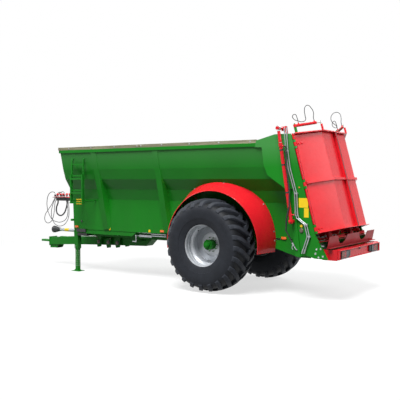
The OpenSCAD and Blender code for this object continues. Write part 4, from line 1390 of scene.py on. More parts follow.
@dataclass
class WheelFittings(WheelPart):
    """Nuts, rim ridges, valve and hub cap with its bolts of one wheel."""

    studs: int = 10
    stud_circle: float = 0.136
    # The disc's outer face and the hub's, outside the wheel's middle plane
    disc_out: float = -0.06
    hub_out: float = 0.090
    hub_bolts: int = 8
    hub_circle: float = 0.08
    # Where the valve comes through the rim, in radians upwards from the front
    valve_turn: float = 0.9
    # Pressed ridges round the rim's barrel and disc: radius and distance outside the middle
    RIDGES = (((0.4045, 0.235), (0.395, 0.238), (0.392, 0.244), (0.395, 0.250), (0.4045, 0.253)),
              ((0.4045, 0.150), (0.392, 0.156), (0.388, 0.166), (0.392, 0.176), (0.4045, 0.182)),
              ((0.3705, 0.020), (0.358, 0.026), (0.355, 0.034), (0.358, 0.042), (0.3705, 0.048)),
              ((0.215, -0.061), (0.222, -0.052), (0.234, -0.052), (0.241, -0.061)))
    CAP = ((0.001, 0.0), (0.052, 0.0), (0.052, 0.010), (0.046, 0.020), (0.022, 0.024), (0.020, 0.030),
           (0.001, 0.031))
    HUB_RING = ((0.062, 0.0), (0.068, 0.006), (0.062, 0.012))
    VALVE_STEM = ((0.352, 0.06), (0.350, 0.085), (0.338, 0.105))
    VALVE_CAP = ((0.001, 0), (0.008, 0), (0.008, 0.014), (0.006, 0.018), (0.001, 0.018))

    def facing(self, out: float, turn: float = 0.0, radius: float = 0.0, twist: float = 0.0) -> Matrix:
        """Where a piece goes that faces outwards from the wheel.

        Args:
            out: Distance of its foot outside the wheel's middle plane.
            turn: Radians about the axle, upwards from the front.
            radius: Distance from the axle.
            twist: Degrees that it is turned about its own middle.

        Returns:
            The matrix for its mesh.
        """
        return aim(self.spot(turn, radius, out), Vector((0, self.side.value, 0)), twist)

    def build(self) -> None:
        """Makes the fittings."""
        word = self.side.word
        nuts = [self.facing(self.disc_out, math.tau * i / self.studs, self.stud_circle, 20 * i)
                for i in range(self.studs)]
        dress(copies(bolt(0.030), nuts), f"{word}_wheel_nuts", Finish.BARE_STEEL, self.body)
        ridges = [placed(turned(line, 72), self.facing(0)) for line in self.RIDGES]
        dress(joined(ridges), f"{word}_rim_ridges", Finish.RIM_SILVER, self.body)
        cap = placed(turned(self.CAP, 28), self.facing(0.138))
        bolts = [self.facing(self.hub_out, math.tau * i / self.hub_bolts + 0.2, self.hub_circle)
                 for i in range(self.hub_bolts)]
        ring = placed(turned(self.HUB_RING, 32), self.facing(self.hub_out - 0.002))
        cap = joined([cap, copies(bolt(0.017), bolts), ring])
        dress(cap, f"{word}_hub_cap", Finish.FRAME_GREEN, self.body)
        stem = rod([self.spot(self.valve_turn, radius, out) for radius, out in self.VALVE_STEM], 0.006, 8)
        tip = placed(turned(self.VALVE_CAP, 12), self.facing(0.102, self.valve_turn, 0.338))
        dress(joined([stem, tip]), f"{word}_tyre_valve", Finish.BLACK_PLASTIC, self.body)


@dataclass
class Mudguards:
    """The two mudguards: their flared shells, rolled edges, stays and bolts."""

    out_y: float = 1.2
    in_y: float = 0.66
    outer_r: float = 1.052
    inner_r: float = 1.195
    # How much farther round the wheel the guard reaches at its inner edge
    spread: float = 0.06
    outer_middle: tuple[float, float] = (-0.07, 0.91)
    inner_middle: tuple[float, float] = (-0.02, 1.050)
    thick: float = 0.006
    bands: int = 6
    # Degrees from the front at the guard's two ends, and between two of its rows of points
    first: int = -6
    last: int = 186
    step: int = 4
    bolt_share: float = 0.93
    stay_share: float = 0.3
    stay_z: float = 1.66
    # Bolts and stays along the guard, in degrees from the front
    BOLTS = (97, 142, 168, 176, 60, 30, 8, 0)
    STAYS = (128, 62)
    # Radii of the rolled edge and of the beads at the guard's two ends
    LIPS = (0.009, 0.006, 0.006)

    def raw(self, degrees: float, share: float, lift: float = 0.0) -> Vector:
        """A point on the whole flared form before the body's wall cuts it.

        Args:
            degrees: Angle about the axle, upwards from the front.
            share: Share of the way in from the outer edge.
            lift: Distance over the sheet.

        Returns:
            The point in the machine's frame.
        """
        turn = math.radians(90 + (degrees - 90) * (1 + self.spread * share))
        radius = self.outer_r + (self.inner_r - self.outer_r) * share + lift
        middle = [a + (b - a) * share for a, b in zip(self.outer_middle, self.inner_middle)]
        return from_axle(middle[0] + radius * math.cos(turn), self.out_y + (self.in_y - self.out_y) * share,
                         middle[1] + radius * math.sin(turn))

    def reach(self, degrees: float) -> float:
        """The share of the way in at which the guard meets the body's wall.

        Args:
            degrees: Angle about the axle, upwards from the front.

        Returns:
            The share, up to 1.
        """
        share = 0.0
        while share < 1.0:
            place = self.raw(degrees, share)
            if place.y <= wall_y(place.z) + self.thick:
                break
            share += 0.01
        return share

    def skin(self, degrees: float, share: float, lift: float = 0.0) -> Vector:
        """A point on the guard at an angle and a share of the way from its outer edge to the wall."""
        return self.raw(degrees, share * self.reach(degrees), lift)

    def normal(self, degrees: float) -> Vector:
        """Outward normal of the guard at an angle.

        Args:
            degrees: Angle about the axle, upwards from the front.

        Returns:
            The normal on the left guard.
        """
        turn = math.radians(degrees)
        slope = (self.inner_r - self.outer_r) / (self.out_y - self.in_y)
        return Vector((math.cos(turn), slope, math.sin(turn))).normalized()

    def build(self) -> None:
        """Makes the left guard's pieces and mirrors them."""
        angles = range(self.first, self.last + 1, self.step)
        for side in Side:
            rows = [[self.skin(a, band / self.bands) for a in angles] for band in range(self.bands + 1)]
            shell = on_side(tidy(draped(rows, self.thick), 40), side)
            dress(shell, f"{side.word}_guard_shell", Finish.GLOSS_RED)
            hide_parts(f"{side.word}_mudguard")
        edges = [[self.skin(a, 0.0) for a in angles]]
        edges += [[self.skin(a, s / 8) for s in range(9)] for a in (self.last, self.first)]
        lips = [rod(line, radius, 8) for line, radius in zip(edges, self.LIPS)]
        dress(both(joined(lips)), "mudguard_lips", Finish.GLOSS_RED)
        heads = [aim(self.skin(a, self.bolt_share, 0.003), self.normal(a)) for a in self.BOLTS]
        dress(both(copies(bolt(0.020), heads)), "mudguard_bolts", Finish.BARE_STEEL)
        stays = [self.stay(degrees) for degrees in self.STAYS]
        dress(both(joined(stays)), "mudguard_stays", Finish.GLOSS_RED)

    def stay(self, degrees: float) -> bpy.types.Object:
        """The bar that holds the guard off the body's wall at an angle.

        Args:
            degrees: Angle about the axle, upwards from the front.

        Returns:
            The bar on the left.
        """
        tip = self.skin(degrees, self.stay_share, -0.014)
        root = Vector((tip.x, wall_y(self.stay_z) + 0.006, self.stay_z))
        return rod([root, root.lerp(tip, 0.5), tip], 0.011, 12)


# --------------------------------------------------------------------------------- body
@dataclass
class BodyShell:
    """Rib gussets, welds, reflectors and small plates of the body."""

    ribs: tuple[float, ...] = (1.4, 3.15)
    rib_half: float = 0.07
    # Half width and height of the ribs' outer faces at their foot and top
    RIB_FOOT, RIB_TOP = (0.69, 1.05), (1.10, 2.79)
    # How far behind a rib its gusset meets the wall, by height
    GUSSET = ((2.40, 0.004), (2.30, 0.012), (2.19, 0.020), (2.08, 0.020), (1.965, 0.022), (1.85, 0.024),
              (1.735, 0.030), (1.57, 0.040), (1.40, 0.050), (1.22, 0.056), (1.06, 0.060))
    # Heights of the weld along a rib's front, and the runs of the weld under the top rail
    SEAM = (1.06, 1.40, 1.735, 1.965, 2.19, 2.41, 2.78)
    RAIL_Y, RAIL_Z, RAIL_RUNS = 1.093, 2.786, ((-0.95, 1.32), (1.48, 3.07), (3.23, 4.19))
    REFLECTORS = ((1.885, 1.062), (3.05, 1.062))
    PLUG, PLUG_AT = ((0.001, 0), (0.022, 0), (0.022, 0.012), (0.015, 0.018), (0.001, 0.018)), (3.93, 1.21)
    FRONT_BOLTS = (-1.0, -0.5, 0.0, 0.5, 1.0)
    BOARD_BOLTS = (-0.9, -0.2, 0.5, 1.2, 1.75, 1.86, 2.5, 3.2, 3.9)

    def gusset(self, x: float) -> bpy.types.Object:
        """The curved plate between the rear cheek of the rib at x and the wall.

        Args:
            x: The rib's middle, ahead of the axle.

        Returns:
            The plate on the left.
        """
        (foot_y, foot_z), (top_y, top_z) = self.RIB_FOOT, self.RIB_TOP
        free, root = [], []
        for z, reach in self.GUSSET:
            cheek = foot_y + (z - foot_z) * (top_y - foot_y) / (top_z - foot_z)
            free.append(from_axle(x - (self.rib_half + reach), wall_y(z) + 0.003, z))
            root.append(from_axle(x - self.rib_half, cheek - 0.001, z))
        return tidy(draped((free, root), 0.005), 50)

    def build(self) -> None:
        """Makes the shell's fittings on both sides."""
        dress(both(joined([self.gusset(x) for x in self.ribs])), "rib_gussets", Finish.BODY_GREEN)
        self.welds()
        self.plates()
        self.bolts()

    def welds(self) -> None:
        """Thin weld beads along the seams of the ribs and under the top rail."""
        beads = []
        for x in self.ribs:
            line = [from_axle(x + self.rib_half + 0.002, wall_y(z) + 0.003, z) for z in self.SEAM]
            beads.append(rod(line, 0.004, 6, smooth=False))
            foot = [from_axle(x - self.rib_half - 0.002, 1.08, 2.77)]
            foot += [from_axle(x - self.rib_half - reach, wall_y(z) + 0.004, z) for z, reach in self.GUSSET]
            beads.append(rod(foot, 0.005, 8, smooth=False))
        beads += [rod(route((start, self.RAIL_Y, self.RAIL_Z), (end, self.RAIL_Y, self.RAIL_Z)), 0.004, 6)
                  for start, end in self.RAIL_RUNS]
        dress(both(joined(beads)), "weld_beads", Finish.BODY_GREEN)

    def on_wall(self, x: float, z: float) -> tuple[Vector, Vector]:
        """A place on the left wall and the way that the wall faces there."""
        return from_axle(x, wall_y(z), z), wall_normal(z)

    def plates(self) -> None:
        """Round yellow reflectors, boxes and plugs on the walls, and the bare plate at the front."""
        lenses = copies(disc(0.030, 0.008, 28, 0.004), [aim(*self.on_wall(x, z)) for x, z in self.REFLECTORS])
        dress(both(lenses), "side_reflectors", Finish.YELLOW_FILM)
        label = slab((3.905, 0.7015, 1.605), (4.085, 0.7045, 1.730), 0.0008)
        box = slab((3.80, 0.672, 0.955), (4.09, 0.700, 1.030), 0.006)
        dress(both(box), "sill_boxes", Finish.BLACK_PLASTIC)
        dress(label, "front_side_plate", Finish.YELLOW_FILM)
        dress(both(boss(self.PLUG, 20, *self.on_wall(*self.PLUG_AT))), "wall_plugs", Finish.BLACK_PLASTIC)

    def bolts(self) -> None:
        """Tabs and bolts on the front wall, and the bolts of the boards."""
        tab = slab((4.205, 0.60, 1.205), (4.265, 0.72, 1.255))
        dress(both(tab), "front_tabs", Finish.BODY_GREEN)
        heads = copies(bolt(0.020), [aim(from_axle(4.231, y, 2.822), FORWARD) for y in self.FRONT_BOLTS])
        dress(heads, "front_rail_bolts", Finish.BARE_STEEL)
        carriage = copies(bolt(0.018), [aim(from_axle(x, 1.11, 2.888), LEFT) for x in self.BOARD_BOLTS])
        dress(both(carriage), "board_bolts", Finish.BARE_STEEL)


# --------------------------------------------------------------------------- rear frame
@dataclass
class RearFrameDress:
    """Plates, caps, bolts and clamps on the rear frame's outer faces."""

    # Side plates' corners: X and Z at the lower rear and upper front
    PLATES = {"upper_side_plate": ((-2.085, 1.678), (-1.905, 1.848)),
              "lower_side_plate": ((-2.098, 1.503), (-2.008, 1.670))}
    CAP = ((0.001, 0), (0.040, 0), (0.040, 0.012), (0.030, 0.022), (0.001, 0.024))
    BOLTS = ((-2.250, 0.950), (-2.330, 0.960), (-2.230, 0.870), (-2.290, 0.810), (-2.370, 0.830))
    # The gate's lift cylinder: its lean, its head, its length and where its clamps sit
    LIFT_LEAN, LIFT_HEAD, LIFT_LONG, CLAMPS = 9, (-1.54, 1.2, 3.1), 1.69, (0.52, 1.02, 1.29)
    CLAMP = ((0.0312, -0.012), (0.0345, -0.012), (0.0345, 0.012), (0.0312, 0.012))
    PIN = ((0.001, 0), (0.026, 0), (0.026, 0.008), (0.018, 0.014), (0.001, 0.015))
    PORT = ((0.001, 0), (0.014, 0), (0.014, 0.020), (0.010, 0.030), (0.001, 0.030))
    SLEEVE = ((0.019, 1.43), (0.030, 1.43), (0.030, 1.475), (0.0285, 1.48), (0.0285, 1.635), (0.019, 1.635))

    def face(self, x: float, z: float) -> Vector:
        """A place on the left side plate's outer face."""
        return from_axle(x, FRAME_Y, z)

    def build(self) -> None:
        """Makes the left side's fittings and mirrors them."""
        for name, ((x0, z0), (x1, z1)) in self.PLATES.items():
            for side in Side:
                film = slab((x0, FRAME_Y + 0.0004, z0), (x1, FRAME_Y + 0.003, z1), 0.0008)
                dress(on_side(film, side), f"{side.word}_{name}", Finish.YELLOW_FILM)
        reflector = placed(disc(0.026, 0.008, 28, 0.004), aim(self.face(-1.960, 1.350), LEFT))
        dress(both(reflector), "rear_side_reflectors", Finish.YELLOW_FILM)
        dress(both(boss(self.CAP, 28, self.face(-1.960, 1.270), LEFT)), "bearing_caps", Finish.OILY_STEEL)
        button = placed(disc(0.014, 0.008, 20, 0.003), aim(self.face(-1.915, 2.035), LEFT))
        dress(both(button), "side_buttons", Finish.ORANGE_LENS)
        heads = copies(bolt(0.020), [aim(self.face(x, z), LEFT, 13 * i)
                                     for i, (x, z) in enumerate(self.BOLTS)])
        dress(both(heads), "side_plate_bolts", Finish.BARE_STEEL)
        inner = FRAME_Y - 0.03
        fold = plate(route((-2.216, FRAME_Y, 1.20), (-2.4497, FRAME_Y, 0.781), (-2.4497, inner, 0.781),
                           (-2.216, inner, 1.20)), Vector((-0.004, 0, 0)), 0.001)
        dress(both(fold), "side_plate_edges", Finish.FRAME_GREEN)
        self.lift_cylinders()

    def lift_cylinders(self) -> None:
        """Hose clamps, eye pins, ports and rod sleeves of the gate's lift cylinders."""
        lean = math.radians(self.LIFT_LEAN)
        up = Vector((math.sin(lean), 0, math.cos(lean)))
        foot = from_axle(*self.LIFT_HEAD) - self.LIFT_LONG * up
        clamps = [boss(self.CLAMP, 28, foot + along * up, up) for along in self.CLAMPS]
        dress(both(joined(clamps)), "lift_cylinder_bands", Finish.BLACK_PLASTIC)
        pin = boss(self.PIN, 24, foot + 0.055 * LEFT, LEFT)
        port = boss(self.PORT, 6, foot + 0.12 * up - 0.050 * FORWARD, -FORWARD)
        dress(both(joined([pin, port])), "lift_cylinder_pins", Finish.GLOSS_RED)
        dress(both(boss(self.SLEEVE, 28, foot, up)), "lift_rod_sleeves", Finish.GLOSS_RED, "gate")


@dataclass
class PipeFittings:
    """Unions, hose tails and a sleeve along the rear pipes."""

    pipe_y: float = 1.134
    gap: float = 0.042
    nut_half: float = 0.0145
    nut_long: float = 0.030
    # The rear pipe's bends, and which of them have unions
    RISER = ((-1.670, 3.060), (-1.700, 2.690), (-1.750, 2.370), (-1.880, 1.930), (-1.895, 1.580),
             (-1.920, 1.490), (-2.075, 1.380), (-2.130, 1.170), (-2.040, 0.910))
    UNIONS = (0, 4, 8)
    LONG_TAIL = ((-1.840, 1.14, 0.980), (-1.862, 1.14, 0.945), (-1.890, 1.128, 0.92))
    SHORT_TAIL = ((-1.812, 1.142, 1.01), (-1.800, 1.15, 0.965), (-1.812, 1.14, 0.925))
    SLEEVE = ((0.001, 0), (0.0165, 0), (0.0165, 0.055), (0.012, 0.065), (0.001, 0.065))
    SLEEVE_AT, SLEEVE_WAY = (-1.800, 1.1434, 1.045), Vector((-0.48, -0.03, -0.8))

    def union(self, place: Vector, way: Vector) -> bpy.types.Object:
        """A hexagon union nut with its cone on a pipe.

        Args:
            place: Where the nut starts.
            way: The way that the pipe leaves it.

        Returns:
            The union.
        """
        nut = placed(disc(self.nut_half, self.nut_long, 6, 0.003), aim(place, way))
        cone = ((0.001, 0), (self.nut_half * 0.8, 0), (0.0105, 0.020), (0.001, 0.020))
        return joined([nut, boss(cone, 16, place + self.nut_long * way.normalized(), way)])

    def build(self) -> None:
        """Makes the unions on the left and mirrors them."""
        made = []
        for dx in (0.0, self.gap):
            for index in self.UNIONS:
                x, z = self.RISER[index]
                nx, nz = self.RISER[index - 1 if index else 1]
                way = Vector((nx - x, 0, nz - z)).normalized()
                made += [self.union(from_axle(x + dx, self.pipe_y, z), end) for end in (way, -way)]
        dress(both(joined(made)), "pipe_unions", Finish.PIPE_GREY)
        tails = [rod(route(*self.LONG_TAIL), 0.011, 10), rod(route(*self.SHORT_TAIL), 0.009, 10),
                 boss(self.SLEEVE, 20, from_axle(*self.SLEEVE_AT), self.SLEEVE_WAY)]
        dress(both(joined(tails)), "hose_tails", Finish.PIPE_GREY)


@dataclass
class Doors:
    """Bolts, hinge tubes, a seal, bands and edge strips of the two rear doors, in the hinge's own frame."""

    tall: float = DOOR_TALL
    # The door's bend behind and inside its hinge
    back: float = 0.30
    inwards: float = 0.58
    HINGES, LEAF_BOLTS, RAIL_BOLTS = (0.08, 0.90, 1.64), (-0.06, -0.12), (-0.045, 0.05)
    # Stretches of rolled edge between the hinges
    ROLLED = ((0.17, 0.81), (0.99, 1.55), (1.73, DOOR_TALL))

    def build(self) -> None:
        """Makes each door's pieces as left ones and turns the right door's over."""
        for side in Side:
            for name, (obj, finish) in self.fittings().items():
                dress(on_side(obj, side), f"{side.word}_{name}", finish, f"{side.word}_door_leaf")

    def fittings(self) -> dict[str, tuple[bpy.types.Object, Finish]]:
        """The left door's pieces by name, each with its finish.

        Returns:
            Each piece and its finish, by the name after its side.
        """
        return {
            "door_bolts": (self.bolts(), Finish.GLOSS_RED),
            "hinge_tubes": (self.hinge_tubes(), Finish.GLOSS_RED),
            "door_seal": (self.seam_line(0.0085, 0.0080, 0.004), Finish.BLACK_PLASTIC),
            "seam_edges": (self.seam_line(0.021, 0.0050, 0.006), Finish.GLOSS_RED),
            "door_top_bands": (self.top_band(), Finish.GLOSS_RED),
            "door_edge_strips": (self.sill_strip(), Finish.GLOSS_RED),
        }

    def bolts(self) -> bpy.types.Object:
        """Bolts under the top rail and through the hinge leaves.

        Returns:
            All the bolt heads.
        """
        rail = [hinge_point(-self.back - 0.03, -self.inwards - dy, self.tall - 0.008)
                for dy in self.RAIL_BOLTS]
        heads = copies(bolt(0.022), [aim(place, -HINGE.up()) for place in rail])
        bend = math.atan2(self.back, self.inwards)
        facing = (hinge_point(-math.cos(bend), math.sin(bend), 0) - hinge_point(0, 0, 0)).normalized()
        leaves = [aim(hinge_point(-0.0157 + dy * math.tan(bend), dy - 0.004, z), facing)
                  for z in self.HINGES for dy in self.LEAF_BOLTS]
        return joined([heads, copies(bolt(0.020), leaves)])

    def sill_strip(self) -> bpy.types.Object:
        """The bead along the door's lower edge behind its bend."""
        x = -self.back - 0.060
        return rod([hinge_point(x, -self.inwards, 0.004), hinge_point(x, -FRAME_Y + 0.012, 0.004)], 0.005, 8)

    def top_band(self) -> bpy.types.Object:
        """The bent bar that stiffens the door's top rail along its rear edge.

        Returns:
            The bar.
        """
        rear, height = -self.back - 0.056, self.tall - 0.014
        corners = ((-0.058, 0.012), (rear, -self.inwards), (rear, -FRAME_Y + 0.024))
        return rod([hinge_point(x, y, height) for x, y in corners], 0.011, 12, smooth=False)

    def seam_line(self, inset: float, radius: float, proud: float) -> bpy.types.Object:
        """A bar along the door's free edge.

        Args:
            inset: Distance of its middle from the plane where the two doors meet.
            radius: Half its thickness.
            proud: How far its middle stands behind the door's cross rail.

        Returns:
            The bar.
        """
        return rod([hinge_point(-self.back - 0.048 - proud, -FRAME_Y + inset, z)
                    for z in (0.012, 0.9, self.tall - 0.012)], radius, 8)

    def hinge_tubes(self) -> bpy.types.Object:
        """The rolled edge of the door's skin, which closes the slots between the hinges."""
        return joined([rod([hinge_point(0, 0, low), hinge_point(0, 0, high)], 0.018, 16)
                       for low, high in self.ROLLED])


@dataclass
class RearLamps:
    """Lamp lenses in their housings and the triangular reflectors on the bumper."""

    face_x: float = -2.634
    bumper_x: float = -2.600
    # Each lens's name, finish and two edges
    LENSES = (("stop_lenses", Finish.RED_LENS, (0.686, 0.780)),
              ("turn_lenses", Finish.AMBER_LENS, (0.786, 0.885)),
              ("rear_white_lenses", Finish.SMOKED_LENS, (0.575, 0.680)))
    LENS_Z = (0.804, 0.906)
    # The grid over the lamps: its upright bars, its level ones and its own edges
    UPRIGHTS = (0.57, 0.6, 0.63, 0.66, 0.69, 0.72, 0.75, 0.78, 0.81, 0.84, 0.87, 0.89)
    LEVELS = (0.798, 0.826, 0.855, 0.884, 0.912)
    GRID_Y, GRID_Z = (0.566, 0.894), (0.800, 0.910)
    # The triangle's middle, foot, side, thickness and height as a share of its side
    TRIANGLE_Y, TRIANGLE_Z, TRIANGLE, TRIANGLE_THICK, TRIANGLE_TALL = 0.932, 0.785, 0.072, 0.010, 0.866

    def build(self) -> None:
        """Makes the lamps and the reflectors."""
        face, (low, high) = self.face_x + 0.002, self.LENS_Z
        for name, finish, (y0, y1) in self.LENSES:
            dress(both(slab((face - 0.004, y0, low), (face + 0.002, y1, high), 0.002)), name, finish)
        bars = [route(*((face - 0.004, y, z) for z in self.GRID_Z)) for y in self.UPRIGHTS]
        bars += [route(*((face - 0.004, y, z) for y in self.GRID_Y)) for z in self.LEVELS]
        dress(both(joined([rod(bar, 0.003, 6) for bar in bars])), "lamp_grids", Finish.BLACK_PLASTIC)
        half, tip = self.TRIANGLE / 2, self.TRIANGLE_Z + self.TRIANGLE * self.TRIANGLE_TALL
        corners = ((self.TRIANGLE_Y - half, self.TRIANGLE_Z), (self.TRIANGLE_Y + half, self.TRIANGLE_Z),
                   (self.TRIANGLE_Y, tip))
        triangle = plate(route(*((self.bumper_x, y, z) for y, z in corners)),
                         -self.TRIANGLE_THICK * FORWARD, 0.002)
        dress(both(triangle), "triangle_reflectors", Finish.RED_LENS)
        self.bumper()

    def bumper(self) -> None:
        """Makes the ledges and end plates round the bumper's rear face, and what hangs on it."""
        rear, face = self.face_x - 0.004, self.bumper_x
        ledges = [slab((rear, -1.0, 0.926), (face, 1.0, 0.940)),
                  slab((rear + 0.018, -1.0, 0.770), (face, 1.0, 0.780))]
        ends = [slab((rear, 0.972, 0.772), (face, 1.0, 0.938)),
                slab((rear + 0.012, 0.905, 0.780), (face, 0.911, 0.926), 0.001)]
        dress(joined([*ledges, both(joined(ends))]), "bumper_ledges", Finish.GLOSS_RED)
        strip = slab((rear + 0.010, 0.56, 0.780), (face, 0.90, 0.788), 0.002)
        dress(both(strip), "lamp_brackets", Finish.BARE_STEEL)
        plug = slab((rear + 0.008, 0.475, 0.80), (face, 0.545, 0.915), 0.012)
        socket = slab((rear + 0.010, -0.03, 0.895), (face, 0.03, 0.922), 0.004)
        dress(joined([both(plug), socket]), "lamp_sockets", Finish.BLACK_PLASTIC)


# ---------------------------------------------------------------------------- front end
@dataclass
class HoseFittings:
    """Couplers, dust caps, ferrules, lever and straps on the hose holder."""

    COUPLER_X, COUPLER_Y = (5.16, 5.26, 5.36, 5.46), (-0.11, 0.11)
    USED = ((5.46, 0.11), (5.46, -0.11), (5.36, -0.11))
    collar_z: float = 1.745
    top: float = 1.80
    strap_z: float = 1.704
    CAP = ((0.001, -0.004), (0.027, -0.004), (0.029, 0.006), (0.027, 0.030), (0.018, 0.038), (0.001, 0.040))
    CAP_TAB = ((0.024, 0, 0.010), (0.050, 0, 0.018), (0.056, 0, -0.02), (0.045, 0, -0.055))
    FERRULE = ((0.0085, 0.0), (0.0125, 0.0), (0.0125, 0.030), (0.0095, 0.036), (0.0085, 0.036))
    LEVER = ((4.98, 0.0, 1.732), (4.98, 0.0, 1.80), (4.955, 0.0, 1.85))
    KNOB = ((0.001, -0.016), (0.012, -0.010), (0.016, 0.0), (0.012, 0.010), (0.001, 0.016))
    KNOB_AT = (4.952, 0.0, 1.858)

    def build(self) -> None:
        """Makes the pieces on the holder."""
        spots = [(x, y) for x in self.COUPLER_X for y in self.COUPLER_Y]
        free = [spot for spot in spots if spot not in self.USED]
        collars = copies(disc(0.025, 0.022, 6, 0.003),
                         [aim(from_axle(x, y, self.collar_z), UP) for x, y in spots])
        dress(collars, "coupler_collars", Finish.BARE_STEEL)
        cap = turned(self.CAP, 24)
        tab = rod([Vector(place) for place in self.CAP_TAB], 0.004, 6)
        caps = copies(joined([cap, tab]), [aim(from_axle(x, y, self.top), UP, 70 * i)
                                           for i, (x, y) in enumerate(free)])
        dress(caps, "dust_caps", Finish.RED_PLASTIC)
        sleeves = copies(turned(self.FERRULE, 20), [aim(from_axle(x, y, self.top), UP) for x, y in self.USED])
        dress(sleeves, "hose_ferrules", Finish.BARE_STEEL)
        cover = [slab((4.262, -0.043, 1.726), (5.118, 0.043, 1.741)),
                 slab((5.119, -0.161, 1.7395), (5.501, 0.161, 1.7435), 0.0015)]
        dress(joined(cover), "holder_covers", Finish.GLOSS_RED)
        knob = placed(turned(self.KNOB, 16), Matrix.Translation(from_axle(*self.KNOB_AT)))
        dress(joined([rod(route(*self.LEVER), 0.007, 8), knob]), "holder_lever", Finish.BLACK_PLASTIC)
        straps = [rod(route((5.17, y, self.strap_z), (5.37, y, self.strap_z)), 0.006, 6)
                  for y in (-0.046, 0.046)]
        dress(joined(straps), "holder_straps", Finish.BLACK_PLASTIC)


@dataclass
class DriveShaftGuard:
    """The drive shaft's plastic guard: its tube, its ribbed cone and the cone at the machine."""

    height: float = 0.91
    start: float = 4.262
    # Where the outer tube starts, and where the ribbed cone starts and ends
    step_x: float = 4.86
    cone: float = 5.40
    end: float = 5.62
    ribs: int = 5
    rib_pitch: float = 0.036
    flats: int = 36
    BAND = ((0.0397, 5.05), (0.0402, 5.05), (0.0402, 5.20), (0.0397, 5.20))

    def along(self, profile: Plan) -> bpy.types.Object:
        """A turned piece whose outline's heights run along the shaft."""
        return boss(profile, self.flats, from_axle(0, 0, self.height), FORWARD)

    def build(self) -> None:
        """Makes the guard in the place of its plain solid."""
        tube = self.along(((0.0235, self.start + 0.065), (0.034, self.start + 0.065), (0.034, self.step_x),
                           (0.0395, self.step_x + 0.002), (0.0395, self.cone + 0.02),
                           (0.031, self.cone + 0.02), (0.0235, self.cone)))
        dress(tube, "shaft_guard_tube", Finish.GREY_PLASTIC)
        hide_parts("pto_guard")
        ribs = []
        for i in range(self.ribs):
            x, radius = self.cone + 0.016 + i * self.rib_pitch, 0.048 + 0.0085 * i
            ribs += [(radius - 0.008, x), (radius + 0.003, x + 0.010), (radius + 0.003, x + 0.026)]
        outline = [(0.031, self.cone - 0.03), (0.045, self.cone - 0.03), *ribs, (0.089, self.end - 0.012),
                   (0.089, self.end), (0.083, self.end), (0.082, self.end - 0.02), (0.040, self.cone + 0.035),
                   (0.031, self.cone + 0.03)]
        machine = [(0.031, self.start), (0.064, self.start), (0.064, self.start + 0.03),
                   (0.050, self.start + 0.06), (0.046, self.start + 0.10), (0.031, self.start + 0.10)]
        dress(joined([self.along(outline), self.along(machine)]), "shaft_guard_cone", Finish.BLACK_PLASTIC)
        dress(self.along(self.BAND), "shaft_guard_band", Finish.YELLOW_FILM)


@dataclass
class DrawbarFittings:
    """The drawbar's beam and eye, and the bolts and brackets of its sprung mounting."""

    shortened: float = 0.23
    # The mounting's pivots, their height and the outer face of its cheeks
    PIVOTS, PIVOT_Z, CHEEK_Y = (3.87, 3.56, 3.27), 0.69, 0.172
    BUSH = ((0.032, 0.0), (0.050, 0.002), (0.050, 0.018), (0.032, 0.020))

    def shorten(self, node: str, name: str, start: float, end: float) -> None:
        """Stands for a node by its own form with one stretch of it set back.

        Args:
            node: The node.
            name: The new piece's name.
            start: Where the stretch that moves begins, ahead of the axle.
            end: Where it ends.
        """
        form = bpy.data.objects.new(name, frame["nodes"][node].data.copy())
        bpy.context.collection.objects.link(form)
        low, high = from_axle(start, 0, 0).x, from_axle(end, 0, 0).x
        with editing(form, "VERT"):
            bpy.ops.mesh.remove_doubles(threshold=MERGE)
            bpy.ops.mesh.select_all(action="DESELECT")
            mesh = bmesh.from_edit_mesh(form.data)
            for vertex in mesh.verts:
                vertex.select_set(low < vertex.co.x < high)
            mesh.select_flush_mode()
            bmesh.update_edit_mesh(form.data)
            bpy.ops.transform.translate(value=(-self.shortened, 0, 0))
        dress(form, name, Finish.FRAME_GREEN)
        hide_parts(node)

    def build(self) -> None:
        """Makes the drawbar's fittings."""
        big = copies(bolt(0.040), [aim(from_axle(x, 0.19, self.PIVOT_Z), LEFT) for x in self.PIVOTS])
        small = copies(bolt(0.024), [aim(from_axle(x + dx, self.CHEEK_Y, self.PIVOT_Z + 0.10), LEFT)
                                     for x in self.PIVOTS[:2] for dx in (-0.055, 0.055)])
        # The pivot bolts are dark oily steel, and their darkness is also painted shade where they sit under
        # the body
        dress(both(joined([big, small])), "drawbar_bolts", Finish.OILY_STEEL)
        front = [aim(from_axle(5.925 - self.shortened, y, z), FORWARD) for y in (-0.072, 0.072)
                 for z in (0.555, 0.675)]
        dress(copies(bolt(0.024), front), "eye_plate_bolts", Finish.BARE_STEEL)
        dress(slab((5.17, -0.05, 0.70), (5.36, 0.05, 0.742), 0.006), "drawbar_step", Finish.FRAME_GREEN)
        self.shorten("drawbar", "drawbar_beam", 5.45, 7.0)
        self.shorten("towing_eye", "drawbar_eye", 5.0, 5.94)
        bushes = [boss(self.BUSH, 24, from_axle(x, self.CHEEK_Y, self.PIVOT_Z), LEFT) for x in self.PIVOTS]
        dress(both(joined(bushes)), "drawbar_bushes", Finish.BLACK_PLASTIC)


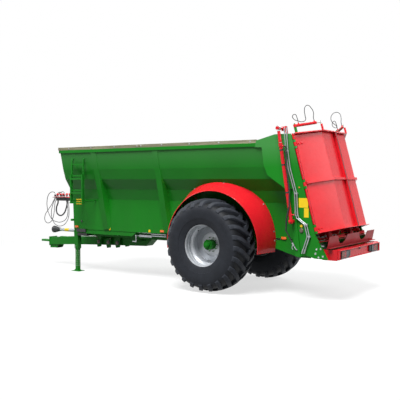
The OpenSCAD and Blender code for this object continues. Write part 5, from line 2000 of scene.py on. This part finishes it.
@dataclass
class JackFittings:
    """The jack's cap and its locking pin."""

    x: float = 4.21
    y: float = 0.54
    cap_z: float = 1.018
    # The pin's bends, outside the jack's middle and over the ground
    PIN = ((0.05, 0.60), (0.085, 0.60), (0.092, 0.575), (0.092, 0.545))
    CAP = ((0.001, 0), (0.030, 0), (0.030, 0.010), (0.014, 0.016), (0.010, 0.030), (0.001, 0.031))

    def build(self) -> None:
        """Makes the pin and the cap."""
        pin = rod([from_axle(self.x, self.y + out, z) for out, z in self.PIN], 0.006, 8)
        dress(pin, "jack_pin", Finish.BARE_STEEL)
        dress(boss(self.CAP, 20, from_axle(self.x, self.y, self.cap_z), UP), "jack_cap", Finish.BARE_STEEL)


@dataclass
class LadderTreads:
    """Grip strips on the ladder's rungs."""

    left_x: float = 3.465
    right_x: float = 3.80
    FIXED, FOLDING = (2.53, 2.27, 1.94, 1.66), (2.20, 1.88)

    def strips(self, rungs: Sequence[float], middle_y: float, half: float,
               inset: float) -> bpy.types.Object:
        """Strips along the tops of rungs.

        Args:
            rungs: The rungs' heights.
            middle_y: Distance of the rungs from the middle plane.
            half: Half the strips' width.
            inset: How far each strip ends inside the ladder's rails.

        Returns:
            All the strips.
        """
        return joined([slab((self.left_x + inset, middle_y - half, z + 0.0155),
                            (self.right_x - inset, middle_y + half, z + 0.0175), 0) for z in rungs])

    def build(self) -> None:
        """Makes the strips of the fixed and of the folding part."""
        fixed = self.strips(self.FIXED, 1.1, 0.008, 0.01)
        dress(fixed, "ladder_grips", Finish.BLACK_PLASTIC)
        folding = self.strips(self.FOLDING, 1.14, 0.009, 0.005)
        dress(folding, "folding_step_grips", Finish.BLACK_PLASTIC, "folding_steps")


ASSEMBLIES = [
    Tyre(Side.LEFT), Tyre(Side.RIGHT), WheelFittings(Side.LEFT), WheelFittings(Side.RIGHT), Mudguards(),
    BodyShell(), RearFrameDress(), PipeFittings(), Doors(), RearLamps(), HoseFittings(),
    DriveShaftGuard(), DrawbarFittings(), JackFittings(), LadderTreads(),
]


def main() -> None:
    """Builds every part of the scene in order."""
    logging.basicConfig(level=logging.INFO, format="%(message)s")
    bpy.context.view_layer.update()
    bpy.context.scene.view_settings.view_transform = "Standard"
    Studio(from_axle(-7.10, 11.59, 2.15)).build()
    HangingHoses().build()
    CadDressing().build()
    for assembly in ASSEMBLIES:
        assembly.build()
    bpy.context.view_layer.update()


if __name__ == "__main__":
    main()
